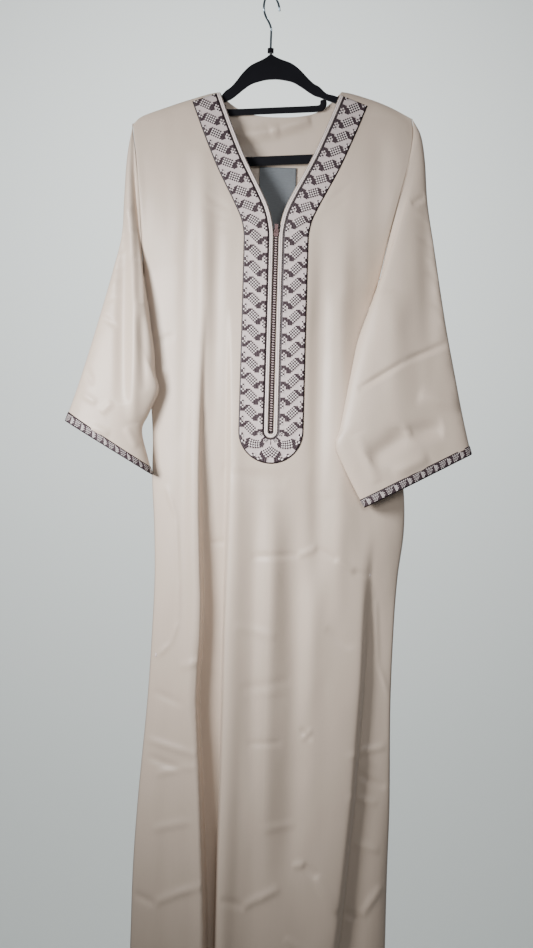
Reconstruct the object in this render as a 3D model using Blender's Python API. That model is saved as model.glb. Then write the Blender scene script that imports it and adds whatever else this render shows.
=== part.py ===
"""A thobe robe with an embroidered V neck and zip, hanging on a flocked clothes hanger.

The robe faces -Y. The origin is the seat of the hanger's hook, where a rail would carry it.
Every table and size below is in millimetres; "drop" is the distance below that seat.
"""
import math
from collections import namedtuple

import bmesh
import bpy
from mathutils import Matrix, Vector

MM = 0.001

# ---- driving sizes -------------------------------------------------------------------------
WALL = 1.2                 # cloth wall
SEAM_EDGE = 1.4            # half the gap between the front's and the back's outer faces at a seam
ARMHOLE_GAP = 1.7          # from a panel's armhole edge to the sleeve's edge
CENTRE = 17.0              # the robe's middle: it sits a little to one side on the hanger
UNDERARM = 450.0
NECK_POINT = 98.0          # from the middle to where the neckline meets the shoulder seam
ROOF = 9.0                 # how fast the cloth falls away from the shoulder seam
FRONT_ARMHOLE = 15.0       # how far the armhole stands open in front of the seams
BACK_ARMHOLE = 13.0
SLIT_HALF = 4.0            # half the zip's slit
SLIT_ROUND = 698.0         # drop of the centre of the placket's round end
HALF_COLUMNS = 15          # of the front, on each side of the slit
BACK_COLUMNS = 14
CORD_INNER = 1.2           # the cord and the band are laid out from the neckline's edge
CORD_OUTER = 6.6
BAND_INNER = 7.4
BAND_OUTER = 47.6
ON_PANEL = 0.9             # clearance of what lies on a coarse faceted panel
BAND_WALL = 1.1
CORD_WALL = 2.4
NECK_END_DROP = 4.5        # the band and cord end this far below the shoulder seam
SLEEVE_CLEAR = 3.4         # from the body's front to the sleeve that lies over it
SLEEVE_LAYER = 5.0
CUFF_DEPTH = 14.0
SIDES = {"left": -1, "right": 1}

Shoulder = namedtuple("Shoulder", "across drop")
SHOULDER_LINE = [
    Shoulder(-216, 203), Shoulder(-198, 196), Shoulder(-163, 182), Shoulder(-130, 170),
    Shoulder(-81, 156), Shoulder(17, 153), Shoulder(115, 150), Shoulder(163, 161),
    Shoulder(195, 173), Shoulder(229, 190),
]
SHOULDER_TIP = {"left": 203.0, "right": 190.0}

# The body at several drops: where its two edges run, and how deep its front and back stand.
Body = namedtuple("Body", "drop left right front back")
BODY = [
    Body(190, -216, 229, 12, 9), Body(215, -217, 232, 15, 11), Body(258, -211, 227, 19, 14),
    Body(322, -204, 212, 24, 18), Body(380, -199, 198, 28, 21), Body(450, -194, 184, 31, 24),
    Body(480, -190, 177, 32, 25), Body(520, -188, 176, 33, 26), Body(580, -184, 183, 34, 26),
    Body(640, -178, 198, 35, 27), Body(710, -172, 218, 36, 27), Body(780, -171, 232, 37, 28),
    Body(850, -166, 235, 38, 28), Body(925, -163, 227, 39, 29), Body(1000, -164, 223, 40, 30),
    Body(1130, -169, 221, 42, 31), Body(1290, -177, 221, 44, 32), Body(1400, -181, 220, 45, 33),
    Body(1525, -181, 219, 46, 34), Body(1600, -182, 219, 47, 35),
]

# Half the opening of the neckline, from the neck point down to the top of the zip.
Neck = namedtuple("Neck", "drop half")
NECKLINE = [
    Neck(150, 98), Neck(187, 84), Neck(222, 70), Neck(257, 55), Neck(285, 41),
    Neck(312, 27), Neck(345, 12), Neck(376, 5), Neck(400, 4), Neck(700, 4),
]

# Folds run downwards. "at_top", "at_middle" and "at_end" are places across; the two widths are
# those of its left and right flank; a positive depth goes in and a negative one stands out.
Fold = namedtuple("Fold", "top end fade at_top at_middle at_end left right depth")
FRONT_FOLDS = [
    Fold(230, 820, 180, -108, -103, -84, 20, 22, 7),
    Fold(560, 1700, 420, -74, -70, -56, 20, 17, 29),
    Fold(840, 1700, 220, 190, 166, 131, 9, 62, 21),
    Fold(820, 1700, 260, 172, 150, 113, 34, 12, -6),
    Fold(760, 1500, 200, 54, 70, 62, 26, 26, 6),
    Fold(880, 1240, 120, 98, 88, 77, 16, 16, -4),
    Fold(205, 460, 60, 183, 186, 190, 18, 16, 5),
    Fold(240, 1000, 160, -134, -128, -120, 14, 14, -4),
    Fold(420, 1000, 200, 140, 146, 150, 16, 16, -4),
    Fold(1250, 1700, 160, 10, 8, 4, 30, 30, 5),
    Fold(900, 1700, 160, -138, -134, -130, 16, 20, 6),
]
BACK_FOLDS = [
    Fold(300, 1700, 300, -118, -110, -96, 24, 20, 12),
    Fold(420, 1700, 300, -30, -34, -42, 22, 24, 14),
    Fold(380, 1700, 320, 70, 74, 80, 24, 22, 13),
    Fold(520, 1700, 260, 150, 152, 156, 18, 22, 10),
    Fold(260, 900, 160, 20, 18, 14, 26, 26, -4),
]
# Sideways push of the cloth beside a deep fold, so that the pleat overhangs its valley.
Lean = namedtuple("Lean", "top end fade at_top at_middle at_end width push")
FRONT_LEANS = [
    Lean(880, 1700, 240, 172, 150, 118, 16, 9),
    Lean(720, 1700, 320, -100, -98, -74, 14, 7),
    Lean(720, 1700, 320, -40, -38, -38, 12, -6),
]

# A sleeve from the armhole to the cuff: the ends of its outer and inner folded edges, half its
# depth, and where its middle layer stands at those two edges.
Sleeve = namedtuple("Sleeve", "outer outer_drop inner inner_drop half at_outer at_inner")
SLEEVES = {
    "left": [
        Sleeve(-216, 203, -194, 450, 14, 0, 0), Sleeve(-223, 235, -193, 476, 15, -2, -6),
        Sleeve(-226, 275, -189, 504, 16, -4, -12), Sleeve(-228, 330, -184, 540, 18, -6, -17),
        Sleeve(-230, 390, -177, 576, 20, -7, -21), Sleeve(-242, 445, -169, 610, 22, -8, -24),
        Sleeve(-256, 500, -163, 638, 24, -8, -26), Sleeve(-275, 570, -178, 676, 26, -8, -24),
        Sleeve(-293, 632, -188, 702, 28, -8, -20), Sleeve(-306, 672, -178, 744, 30, -8, -17),
        Sleeve(-312, 690, -170, 772, 31, -8, -16),
    ],
    "right": [
        Sleeve(229, 190, 184, 450, 14, 0, 0), Sleeve(244, 215, 184, 474, 14, -2, -7),
        Sleeve(252, 257, 168, 502, 15, -4, -15), Sleeve(258, 326, 152, 548, 16, -6, -24),
        Sleeve(270, 396, 142, 600, 17, -8, -32), Sleeve(282, 465, 133, 652, 17, -9, -38),
        Sleeve(294, 530, 126, 692, 17, -10, -42), Sleeve(310, 605, 120, 718, 17, -10, -44),
        Sleeve(322, 660, 135, 754, 17, -10, -43), Sleeve(333, 705, 158, 797, 17, -10, -41),
        Sleeve(339, 726, 169, 815, 17, -10, -40),
    ],
}

# The hanger in its own upright frame: half of its outline, with drops below the collar's top.
HANGER_TOP = 83.25
HANGER_TILT = math.radians(4.0)
HANGER_DEPTH = 4.6
Arm = namedtuple("Arm", "across top under")
HANGER_ARM = [
    Arm(0, 8, 50), Arm(5, 12.5, 50), Arm(14, 17.5, 51), Arm(33, 26, 56), Arm(46, 37, 64),
    Arm(58, 51, 73), Arm(67, 60, 79), Arm(75, 65, 82), Arm(86, 76, 87), Arm(98, 80, 92),
    Arm(120, 89, 102), Arm(150, 101, 115), Arm(185, 117, 131), Arm(207, 130, 144),
    Arm(217, 142, 151),
]
Bend = namedtuple("Bend", "across drop")
TROUSER_BAR = [
    Bend(-210, 152.5), Bend(-209, 162), Bend(-203, 173), Bend(-190, 179), Bend(-170, 180),
    Bend(0, 180), Bend(170, 180), Bend(190, 179), Bend(203, 173), Bend(209, 162),
    Bend(210, 152.5),
]
ACCESSORY_BAR = [
    Bend(-81, 89.5), Bend(-80, 95), Bend(-75, 99), Bend(-60, 100), Bend(0, 100), Bend(60, 100),
    Bend(75, 99), Bend(80, 95), Bend(81, 89.5),
]
TROUSER_BAR_RADIUS = 7.6
ACCESSORY_BAR_RADIUS = 5.4
BAR_FLATTENED = 0.4
HOOK_WIRE = 1.75
HOOK_RADIUS = 22.0
HOOK_SWIVEL = math.radians(55.0)
HOOK_RISE = [Bend(0, 89), Bend(0, 70), Bend(0, 54), Bend(-3, 47), Bend(-9, 41)]
HOOK_ARC_START = 226
HOOK_ARC_END = 6
HOOK_ARC_STEP = 20
COLLAR_RADIUS = 5.0
COLLAR_CLEARANCE = 0.35

# The zip, its slider and its pull tab.
ZIP_TOP = 376.0
ZIP_END = 702.0
CHAIN_TOP = 388.5
CHAIN_HALF = 2.6
CHAIN_DEPTH = 1.8
TAPE_HALF = 12.0
SLIDER_HALF = 3.5
SLIDER_TOP = 376.5
SLIDER_END = 388.0
SLIDER_PLATE = 1.2
SLIDER_FORWARD = 1.3
PIVOT_DROP = 380.5
PIVOT_FORWARD = 1.9
LUG_HALF = 1.0
LUG_REACH = 1.2
PIN_RADIUS = 0.5
PIN_HOLE = 0.85
PULL_HALF = 2.7
PULL_LENGTH = 9.5
PULL_DEPTH = 1.2
EAR_GAP = 0.35
FOOT_GAP = 0.85            # the pull's foot swings clear of the lug's corners
EAR_REACH = 1.0

# The label on the back's inner face and the two pocket bags behind the front.
LABEL_HALF = 29.5
LABEL_TOP = 272.0
LABEL_END = 372.0
Pocket = namedtuple("Pocket", "top end at_seam reach")
POCKETS = {"left": Pocket(800, 1058, -157, -126), "right": Pocket(922, 1110, 215, 192)}
POCKET_INSET = 1.4

SATIN = (0.57, 0.51, 0.46, 1.0)
BAND_COLOUR = (0.55, 0.49, 0.50, 1.0)
CORD_COLOUR = (0.62, 0.56, 0.55, 1.0)
DARK_THREAD = (0.06, 0.03, 0.04, 1.0)
LABEL_COLOUR = (0.10, 0.11, 0.12, 1.0)
FLOCK = (0.012, 0.012, 0.014, 1.0)
STEEL = (0.62, 0.64, 0.66, 1.0)
BRONZE = (0.16, 0.10, 0.09, 1.0)


# ---- reading the tables --------------------------------------------------------------------
def mix(low, high, part):
    """A value between two others."""
    return low + (high - low) * part


def ease(part):
    """Nought to one with level ends."""
    part = min(max(part, 0.0), 1.0)
    return part * part * (3.0 - 2.0 * part)


def read(rows, key, column, at):
    """Read one column of a table smoothly between its rows."""
    marks = [getattr(row, key) for row in rows]
    values = [getattr(row, column) for row in rows]
    if at <= marks[0]:
        return values[0]
    if at >= marks[-1]:
        return values[-1]
    low = max(i for i, mark in enumerate(marks) if mark <= at)

    def slope(i):
        before = max(i - 1, 0)
        after = min(i + 1, len(marks) - 1)
        return (values[after] - values[before]) / (marks[after] - marks[before])

    span = marks[low + 1] - marks[low]
    part = (at - marks[low]) / span
    square = part * part
    cube = square * part
    return (values[low] * (2 * cube - 3 * square + 1)
            + slope(low) * span * (cube - 2 * square + part)
            + values[low + 1] * (3 * square - 2 * cube)
            + slope(low + 1) * span * (cube - square))


# ---- the shape of the cloth ----------------------------------------------------------------
def shoulder_drop(across):
    return read(SHOULDER_LINE, "across", "drop", across)


def body_edge(side, drop):
    return read(BODY, "drop", side, drop)


def neck_half(drop):
    return read(NECKLINE, "drop", "half", drop)


def run_of(line, drop):
    """Where a fold's line is at a drop, and how far the fold has come up from its ends."""
    part = (drop - line.top) / (line.end - line.top)
    upper = mix(line.at_top, line.at_middle, min(part * 2.0, 1.0))
    across = upper if part < 0.5 else mix(line.at_middle, line.at_end, part * 2.0 - 1.0)
    strength = ease((drop - line.top) / line.fade) * ease((line.end - drop) / line.fade)
    return across, strength


def folded(folds, across, drop):
    """How far the folds take a point inwards."""
    total = 0.0
    for fold in folds:
        if fold.top < drop < fold.end:
            line, strength = run_of(fold, drop)
            width = fold.left if across < line else fold.right
            total += fold.depth * strength * math.exp(-((across - line) / width) ** 2)
    return total


def panel_depth(column, opening, folds, across, drop):
    """How far the front or the back stands out from the middle plane at a point."""
    side = "left" if across < CENTRE else "right"
    reach = abs(body_edge(side, drop) - CENTRE)
    outward = min(abs(across - CENTRE) / reach, 1.0)
    crown = (1.0 - outward ** 2.5) ** 0.8
    along = (drop - SHOULDER_TIP[side]) / (UNDERARM - SHOULDER_TIP[side])
    open_edge = 0.0
    if 0.0 < along < 1.0:
        open_edge = opening * (2.0 * math.sqrt(along * (1.0 - along))) ** 0.8
    fullness = read(BODY, "drop", column, drop) - SEAM_EDGE
    roof = 1.0 - math.exp(-max(drop - shoulder_drop(across), 0.0) / ROOF)
    depth = open_edge + (fullness - open_edge) * crown - folded(folds, across, drop) * crown
    return SEAM_EDGE + depth * roof


def front_y(across, drop):
    return -panel_depth("front", FRONT_ARMHOLE, FRONT_FOLDS, across, drop)


def back_y(across, drop):
    return panel_depth("back", BACK_ARMHOLE, BACK_FOLDS, across, drop)


def leaning(across, drop):
    """The sideways push of the cloth at a point of the front."""
    total = 0.0
    for lean in FRONT_LEANS:
        if lean.top < drop:
            line, strength = run_of(lean, drop)
            total += lean.push * strength * math.exp(-((across - line) / lean.width) ** 2)
    return total


def place(across, y, drop):
    """A point in metres from its place in millimetres."""
    return Vector((across, y, -drop)) * MM


# ---- making objects ------------------------------------------------------------------------
def finish(name, mesh_or_bmesh, colour, roughness=0.7, metallic=0.0):
    """Put a mesh into the scene as one named object with its own material."""
    if isinstance(mesh_or_bmesh, bmesh.types.BMesh):
        mesh = bpy.data.meshes.new(name)
        mesh_or_bmesh.to_mesh(mesh)
        mesh_or_bmesh.free()
    else:
        mesh = mesh_or_bmesh
    material = bpy.data.materials.new(name)
    material.use_nodes = True
    shader = material.node_tree.nodes["Principled BSDF"]
    shader.inputs["Base Color"].default_value = colour
    shader.inputs["Roughness"].default_value = roughness
    shader.inputs["Metallic"].default_value = metallic
    mesh.materials.append(material)
    made = bpy.data.objects.new(name, mesh)
    bpy.context.collection.objects.link(made)
    return made


def thicken(made, wall, offset=-1.0):
    """Give a sheet its wall, inwards from its outer face."""
    solid = made.modifiers.new("wall", "SOLIDIFY")
    solid.thickness = wall * MM
    solid.offset = offset
    return made


def sheet(columns, rows, point, closed=False):
    """A grid whose columns and rows, both from 0 to 1, are placed by a function."""
    mesh = bmesh.new()
    bmesh.ops.create_grid(mesh, x_segments=columns, y_segments=rows, size=0.5)
    for vertex in mesh.verts:
        vertex.co = point(vertex.co.x + 0.5, 0.5 - vertex.co.y)
    if closed:
        bmesh.ops.remove_doubles(mesh, verts=mesh.verts, dist=0.00001)
    return mesh


# Rows of the panels: the cloth above the underarm in parts of its height, then by drop.
UPPER_ROWS = [0.0, 0.015, 0.04, 0.085, 0.15, 0.24, 0.34, 0.45, 0.56, 0.68, 0.79, 0.90]
LOWER_ROWS = [450, 490, 535, 585, 640, 702, 760, 820, 880, 945, 1010, 1080, 1150, 1220, 1290,
              1365, 1440, 1520, 1600]
ROW_COUNT = len(UPPER_ROWS) + len(LOWER_ROWS) - 1


def row_at(part):
    """The row of a panel: how far down the armhole it is, and its drop below the underarm."""
    row = round(part * ROW_COUNT)
    if row < len(UPPER_ROWS):
        return UPPER_ROWS[row], UNDERARM
    return 1.0, LOWER_ROWS[row - len(UPPER_ROWS)]


def front_place(part_across, part_down):
    """The front's point for a column and a row. The middle column is the neck and the slit."""
    columns = 2 * HALF_COLUMNS + 1
    column = round(part_across * columns)
    side = "left" if column <= HALF_COLUMNS else "right"
    sign = SIDES[side]
    from_slit = HALF_COLUMNS - column if sign < 0 else column - HALF_COLUMNS - 1
    outward = from_slit / HALF_COLUMNS
    down, drop = row_at(part_down)
    top_across = mix(CENTRE + sign * NECK_POINT, body_edge(side, SHOULDER_TIP[side]), outward)
    if down < 1.0:
        inner_drop = mix(shoulder_drop(CENTRE + sign * NECK_POINT), UNDERARM, down)
        outer_drop = mix(SHOULDER_TIP[side], UNDERARM, down)
        drop = mix(shoulder_drop(top_across), UNDERARM, down)
    else:
        inner_drop = drop
        outer_drop = drop
    inner = CENTRE + sign * neck_half(inner_drop)
    outer = body_edge(side, outer_drop)
    across = mix(inner, outer, outward)
    if down == 0.0:
        across = top_across
    y = front_y(across, drop)
    return place(across + leaning(across, drop), y, drop)


def make_front():
    """The front, one piece, with the V neck and the slit for the zip."""
    columns = 2 * HALF_COLUMNS + 1
    mesh = bmesh.new()
    bmesh.ops.create_grid(mesh, x_segments=columns, y_segments=ROW_COUNT, size=0.5)
    middle = 0.5 / columns
    slit_rows = len(UPPER_ROWS) + LOWER_ROWS.index(702)
    slit_end = 0.5 - slit_rows / ROW_COUNT
    opening = [face for face in mesh.faces
               if abs(face.calc_center_median().x) < middle
               and face.calc_center_median().y > slit_end]
    bmesh.ops.delete(mesh, geom=opening, context="FACES")
    for vertex in mesh.verts:
        vertex.co = front_place(vertex.co.x + 0.5, 0.5 - vertex.co.y)
    thicken(finish("front_panel", mesh, SATIN), WALL)


def back_neck_drop(across):
    """The top edge of the back: the shoulder seams, and a shallow scoop between them."""
    inward = abs(across - CENTRE) / NECK_POINT
    if inward >= 1.0:
        return shoulder_drop(across)
    return mix(192.0, shoulder_drop(across), inward ** 3)


def back_place(part_across, part_down):
    """The back's point for a column and a row; its columns run the other way."""
    part = 1.0 - part_across
    down, drop = row_at(part_down)
    left_top = body_edge("left", SHOULDER_TIP["left"])
    right_top = body_edge("right", SHOULDER_TIP["right"])
    top_across = mix(left_top, right_top, part)
    if down < 1.0:
        left = body_edge("left", mix(SHOULDER_TIP["left"], UNDERARM, down))
        right = body_edge("right", mix(SHOULDER_TIP["right"], UNDERARM, down))
        drop = mix(back_neck_drop(top_across), UNDERARM, down)
    else:
        left = body_edge("left", drop)
        right = body_edge("right", drop)
    across = mix(left, right, part)
    return place(across, back_y(across, drop), drop)


def make_back():
    mesh = sheet(BACK_COLUMNS, ROW_COUNT, back_place)
    thicken(finish("back_panel", mesh, SATIN), WALL)


# ---- sleeves and cuffs ---------------------------------------------------------------------
def sleeve_point(side, along, turn, out=0.0):
    """A point of a sleeve. It turns from its outer edge over the front to its inner edge."""
    rows = SLEEVES[side]
    steps = [SleeveStep(i / (len(rows) - 1), *row) for i, row in enumerate(rows)]
    row = Sleeve(*(read(steps, "step", column, along) for column in Sleeve._fields))
    angle = 2.0 * math.pi * turn
    inward = (1.0 - math.cos(angle)) / 2.0
    lift = abs(math.sin(angle)) ** 0.8
    in_front = math.sin(angle) >= 0.0
    across = mix(row.outer, row.inner, inward)
    drop = mix(row.outer_drop, row.inner_drop, inward)
    y = mix(row.at_outer, row.at_inner, ease(inward)) - row.half * lift * (1 if in_front else -1)
    sign = SIDES[side]
    edge = body_edge(side, drop)
    if sign * (edge - across) > -SLEEVE_CLEAR and drop > UNDERARM:
        covered = ease((sign * (edge - across) + SLEEVE_CLEAR) / (2.0 * SLEEVE_CLEAR))
        limit = front_y(across, drop) - SLEEVE_CLEAR - (SLEEVE_LAYER * lift if in_front else 0.0)
        y = mix(y, min(y, limit), covered)
    joined = 1.0 - ease(along / 0.09)
    if joined > 0.0:
        seam_drop = mix(SHOULDER_TIP[side], UNDERARM, inward)
        seam_across = body_edge(side, seam_drop)
        seam_y = front_y(seam_across, seam_drop) if in_front else back_y(seam_across, seam_drop)
        across = mix(across, seam_across + sign * ARMHOLE_GAP, joined)
        drop = mix(drop, seam_drop, joined)
        y = mix(y, seam_y, joined)
    if out:
        line = Vector((row.outer - row.inner, 0.0, row.outer_drop - row.inner_drop))
        half_width = line.length / 2.0
        middle = mix(row.at_outer, row.at_inner, ease(inward))
        away = line.normalized() * (1.0 - 2.0 * inward) / half_width
        away.y = (y - middle) / row.half ** 2
        away.normalize()
        across += away.x * out
        y += away.y * out
        drop += away.z * out
    return across, y, drop


SleeveStep = namedtuple("SleeveStep", ("step",) + Sleeve._fields)
SLEEVE_TURNS = 16
SLEEVE_ROWS = 12
CUFF_PART = CUFF_DEPTH / 590.0


def make_sleeve(side):
    """One sleeve, a flattened tube from the armhole to the cuff."""
    sign = SIDES[side]

    def point(part_around, part_down):
        turn = part_around if sign > 0 else 1.0 - part_around
        return place(*sleeve_point(side, part_down, turn))

    mesh = sheet(SLEEVE_TURNS, SLEEVE_ROWS, point, closed=True)
    bmesh.ops.reverse_faces(mesh, faces=mesh.faces)
    thicken(finish("sleeve_" + side, mesh, SATIN), WALL)


def make_cuff_band(side):
    """The woven band round a cuff, made from the sleeve's points and moved out."""
    sign = SIDES[side]

    def point(part_around, part_down):
        turn = part_around if sign > 0 else 1.0 - part_around
        across, y, drop = sleeve_point(side, 1.0 - 2.4 * CUFF_PART * (1.0 - part_down), turn,
                                       ON_PANEL + BAND_WALL)
        return place(across, y, drop)

    mesh = sheet(SLEEVE_TURNS, 1, point, closed=True)
    bmesh.ops.reverse_faces(mesh, faces=mesh.faces)
    thicken(finish("cuff_band_" + side, mesh, BAND_COLOUR), BAND_WALL)


# ---- the neck's band and cord --------------------------------------------------------------
def neck_route():
    """The edge of the neck and slit from the left shoulder round to the right one."""
    route = []
    drop = shoulder_drop(CENTRE - NECK_POINT) + 4.0
    while drop < SLIT_ROUND:
        route.append(Vector((-neck_half(drop), drop)))
        drop += 14.0 if drop < 400.0 else 50.0
    turns = 8
    for i in range(turns + 1):
        angle = math.pi * i / turns
        route.append(Vector((-SLIT_HALF * math.cos(angle),
                             SLIT_ROUND + SLIT_HALF * math.sin(angle))))
    half = len(route) - turns - 1
    route.extend(Vector((-step.x, step.y)) for step in reversed(route[:half]))
    return route


def neck_frames():
    """Each step of the route with the direction away from the opening."""
    route = neck_route()
    frames = []
    for i, step in enumerate(route):
        ahead = route[min(i + 1, len(route) - 1)] - route[max(i - 1, 0)]
        frames.append((step, Vector((-ahead.y, ahead.x)).normalized()))
    return frames


def neck_piece(name, inner, outer, columns, wall, colour):
    """A strip that follows the neckline on the front, between two distances from its edge."""
    frames = neck_frames()

    def point(part_across, part_down):
        step, away = frames[round(part_down * (len(frames) - 1))]
        spot = step + away * mix(inner, outer, part_across)
        across = CENTRE + spot.x
        limit = shoulder_drop(across) + NECK_END_DROP
        drop = max(spot.y, limit)
        return place(across, front_y(across, drop) - ON_PANEL - wall, drop)

    mesh = sheet(columns, len(frames) - 1, point)
    mesh.normal_update()
    if sum(face.normal.y for face in mesh.faces) > 0.0:
        bmesh.ops.reverse_faces(mesh, faces=mesh.faces)
    thicken(finish(name, mesh, colour), wall)


# ---- pieces that lie against a panel ---------------------------------------------------------
def patch(name, left, right, top, end, face, inward, wall, colour, columns=4, rows=4, **looks):
    """A flat piece against a panel's inner side, from its points moved in."""
    def point(part_across, part_down):
        across = mix(left, right, part_across)
        drop = mix(top, end, part_down)
        y = face(across, drop)
        return place(across, y - math.copysign(inward, y), drop)

    mesh = sheet(columns, rows, point)
    mesh.normal_update()
    if face(left, top) > 0.0:
        bmesh.ops.reverse_faces(mesh, faces=mesh.faces)
    return thicken(finish(name, mesh, colour, **looks), wall)


def make_label():
    patch("label", CENTRE - LABEL_HALF, CENTRE + LABEL_HALF, LABEL_TOP, LABEL_END, back_y,
          WALL + ON_PANEL + 0.6, 1.0, LABEL_COLOUR, columns=6, rows=5)


def make_pocket(side):
    """A pocket bag, hanging from the side seam behind the front."""
    pocket = POCKETS[side]

    def point(part_across, part_down):
        drop = mix(pocket.top, pocket.end, part_down)
        rounding = (1.0 - abs(2.0 * part_down - 1.0) ** 3.0) ** 0.5
        reach = mix(pocket.at_seam, pocket.reach, 0.35 + 0.65 * rounding)
        across = mix(pocket.at_seam, reach, part_across)
        return place(across, front_y(across, drop) + WALL + POCKET_INSET, drop)

    mesh = sheet(3, 8, point)
    if pocket.reach < pocket.at_seam:
        bmesh.ops.reverse_faces(mesh, faces=mesh.faces)
    thicken(finish("pocket_bag_" + side, mesh, SATIN), WALL)


# ---- the zip ---------------------------------------------------------------------------------
def block(low, high):
    """A box between two corners, in millimetres."""
    mesh = bmesh.new()
    bmesh.ops.create_cube(mesh, size=1.0)
    low = Vector(low)
    high = Vector(high)
    bmesh.ops.scale(mesh, vec=(high - low) * MM, verts=mesh.verts)
    bmesh.ops.translate(mesh, vec=(low + high) * MM / 2.0, verts=mesh.verts)
    return mesh


def rod(name, start, end, radius, sides=16):
    """A round bar between two points, in millimetres."""
    start = Vector(start)
    end = Vector(end)
    mesh = bmesh.new()
    turn = Vector((0, 0, 1)).rotation_difference(end - start).to_matrix().to_4x4()
    middle = Matrix.Translation((start + end) * MM / 2.0)
    bmesh.ops.create_cone(mesh, cap_ends=True, segments=sides, radius1=radius * MM,
                          radius2=radius * MM, depth=(end - start).length * MM,
                          matrix=middle @ turn)
    return finish(name, mesh, STEEL)


def cut(made, tool, operation):
    """Join or cut one object with another, which the build then leaves out."""
    boolean = made.modifiers.new(operation.lower(), "BOOLEAN")
    boolean.operation = operation
    boolean.object = tool
    tool.hide_render = True
    tool.display_type = "WIRE"


def zip_front(drop):
    return front_y(CENTRE, drop)


def make_zip():
    """The tape behind the slit, the chain in it, and the slider with its pull tab."""
    patch("zip_tape", CENTRE - TAPE_HALF, CENTRE + TAPE_HALF, ZIP_TOP + 6.0, ZIP_END + 14.0,
          front_y, WALL + ON_PANEL + 0.5, 1.0, SATIN, columns=4, rows=14)

    def chain_point(part_across, part_down):
        drop = mix(CHAIN_TOP, ZIP_END - 4.0, part_down)
        across = CENTRE + mix(-CHAIN_HALF, CHAIN_HALF, part_across)
        return place(across, zip_front(drop) - CHAIN_DEPTH / 2.0 + 0.6, drop)

    chain = sheet(1, 14, chain_point)
    thicken(finish("zip_chain", chain, BRONZE, 0.45, 0.6), CHAIN_DEPTH)

    plate = zip_front(PIVOT_DROP) - SLIDER_FORWARD
    pivot = plate - SLIDER_PLATE - PIVOT_FORWARD
    slider = finish("zip_slider", block((CENTRE - SLIDER_HALF, plate - SLIDER_PLATE, -SLIDER_END),
                                        (CENTRE + SLIDER_HALF, plate, -SLIDER_TOP)),
                    BRONZE, 0.35, 0.8)
    lug = finish("slider_lug", block((CENTRE - LUG_HALF, pivot - LUG_REACH, -PIVOT_DROP - 1.3),
                                     (CENTRE + LUG_HALF, plate - SLIDER_PLATE / 2.0,
                                      -PIVOT_DROP + 1.3)), BRONZE)
    cut(slider, lug, "UNION")
    hole = rod("pin_hole", (CENTRE - 4, pivot, -PIVOT_DROP), (CENTRE + 4, pivot, -PIVOT_DROP),
               PIN_HOLE)
    cut(slider, hole, "DIFFERENCE")

    inner_ear = LUG_HALF + EAR_GAP
    half_deep = PULL_DEPTH / 2.0
    pull_foot = -PIVOT_DROP + 1.3 + FOOT_GAP
    pull = finish("zip_pull", block((CENTRE - PULL_HALF, pivot - half_deep, pull_foot),
                                    (CENTRE + PULL_HALF, pivot + half_deep,
                                     pull_foot + PULL_LENGTH)), BRONZE, 0.4, 0.7)
    for sign in (-1, 1):
        ends = sorted((CENTRE + sign * inner_ear, CENTRE + sign * PULL_HALF))
        ear = finish("pull_ear", block((ends[0], pivot - half_deep, -PIVOT_DROP - EAR_REACH),
                                       (ends[1], pivot + half_deep, pull_foot + 1.0)), BRONZE)
        cut(pull, ear, "UNION")
    pin = rod("pull_pin", (CENTRE - inner_ear - 0.4, pivot, -PIVOT_DROP),
              (CENTRE + inner_ear + 0.4, pivot, -PIVOT_DROP), PIN_RADIUS, sides=12)
    cut(pull, pin, "UNION")


# ---- the hanger ------------------------------------------------------------------------------
def on_hanger(across, y, drop):
    """A point of the hanger, tilted about the top of its collar."""
    turned = Matrix.Rotation(-HANGER_TILT, 3, "Y") @ Vector((across, y, -drop))
    return (turned + Vector((0.0, 0.0, -HANGER_TOP))) * MM


def smooth_route(points, steps):
    """A smooth curve through a list of points."""
    route = []
    for i in range(len(points) - 1):
        before = points[max(i - 1, 0)]
        after = points[min(i + 2, len(points) - 1)]
        start, end = points[i], points[i + 1]
        for j in range(steps):
            t = j / steps
            route.append(0.5 * (2.0 * start + (end - before) * t
                                + (2.0 * before - 5.0 * start + 4.0 * end - after) * t * t
                                + (3.0 * start - before - 3.0 * end + after) * t ** 3))
    route.append(points[-1])
    return route


def tube(name, route, radius, resolution, colour, roughness, metallic=0.0, flattened=1.0):
    """A round or flattened bar bent along a route, in metres."""
    curve = bpy.data.curves.new(name, "CURVE")
    curve.dimensions = "3D"
    curve.bevel_depth = radius * MM
    curve.bevel_resolution = resolution
    curve.use_fill_caps = True
    line = curve.splines.new("POLY")
    line.points.add(len(route) - 1)
    for point, step in zip(line.points, route):
        point.co = (*step, 1.0)
    bent = bpy.data.objects.new(name, curve)
    bent.scale.y = flattened
    bpy.context.collection.objects.link(bent)
    material = bpy.data.materials.new(name)
    material.use_nodes = True
    shader = material.node_tree.nodes["Principled BSDF"]
    shader.inputs["Base Color"].default_value = colour
    shader.inputs["Roughness"].default_value = roughness
    shader.inputs["Metallic"].default_value = metallic
    curve.materials.append(material)


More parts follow.
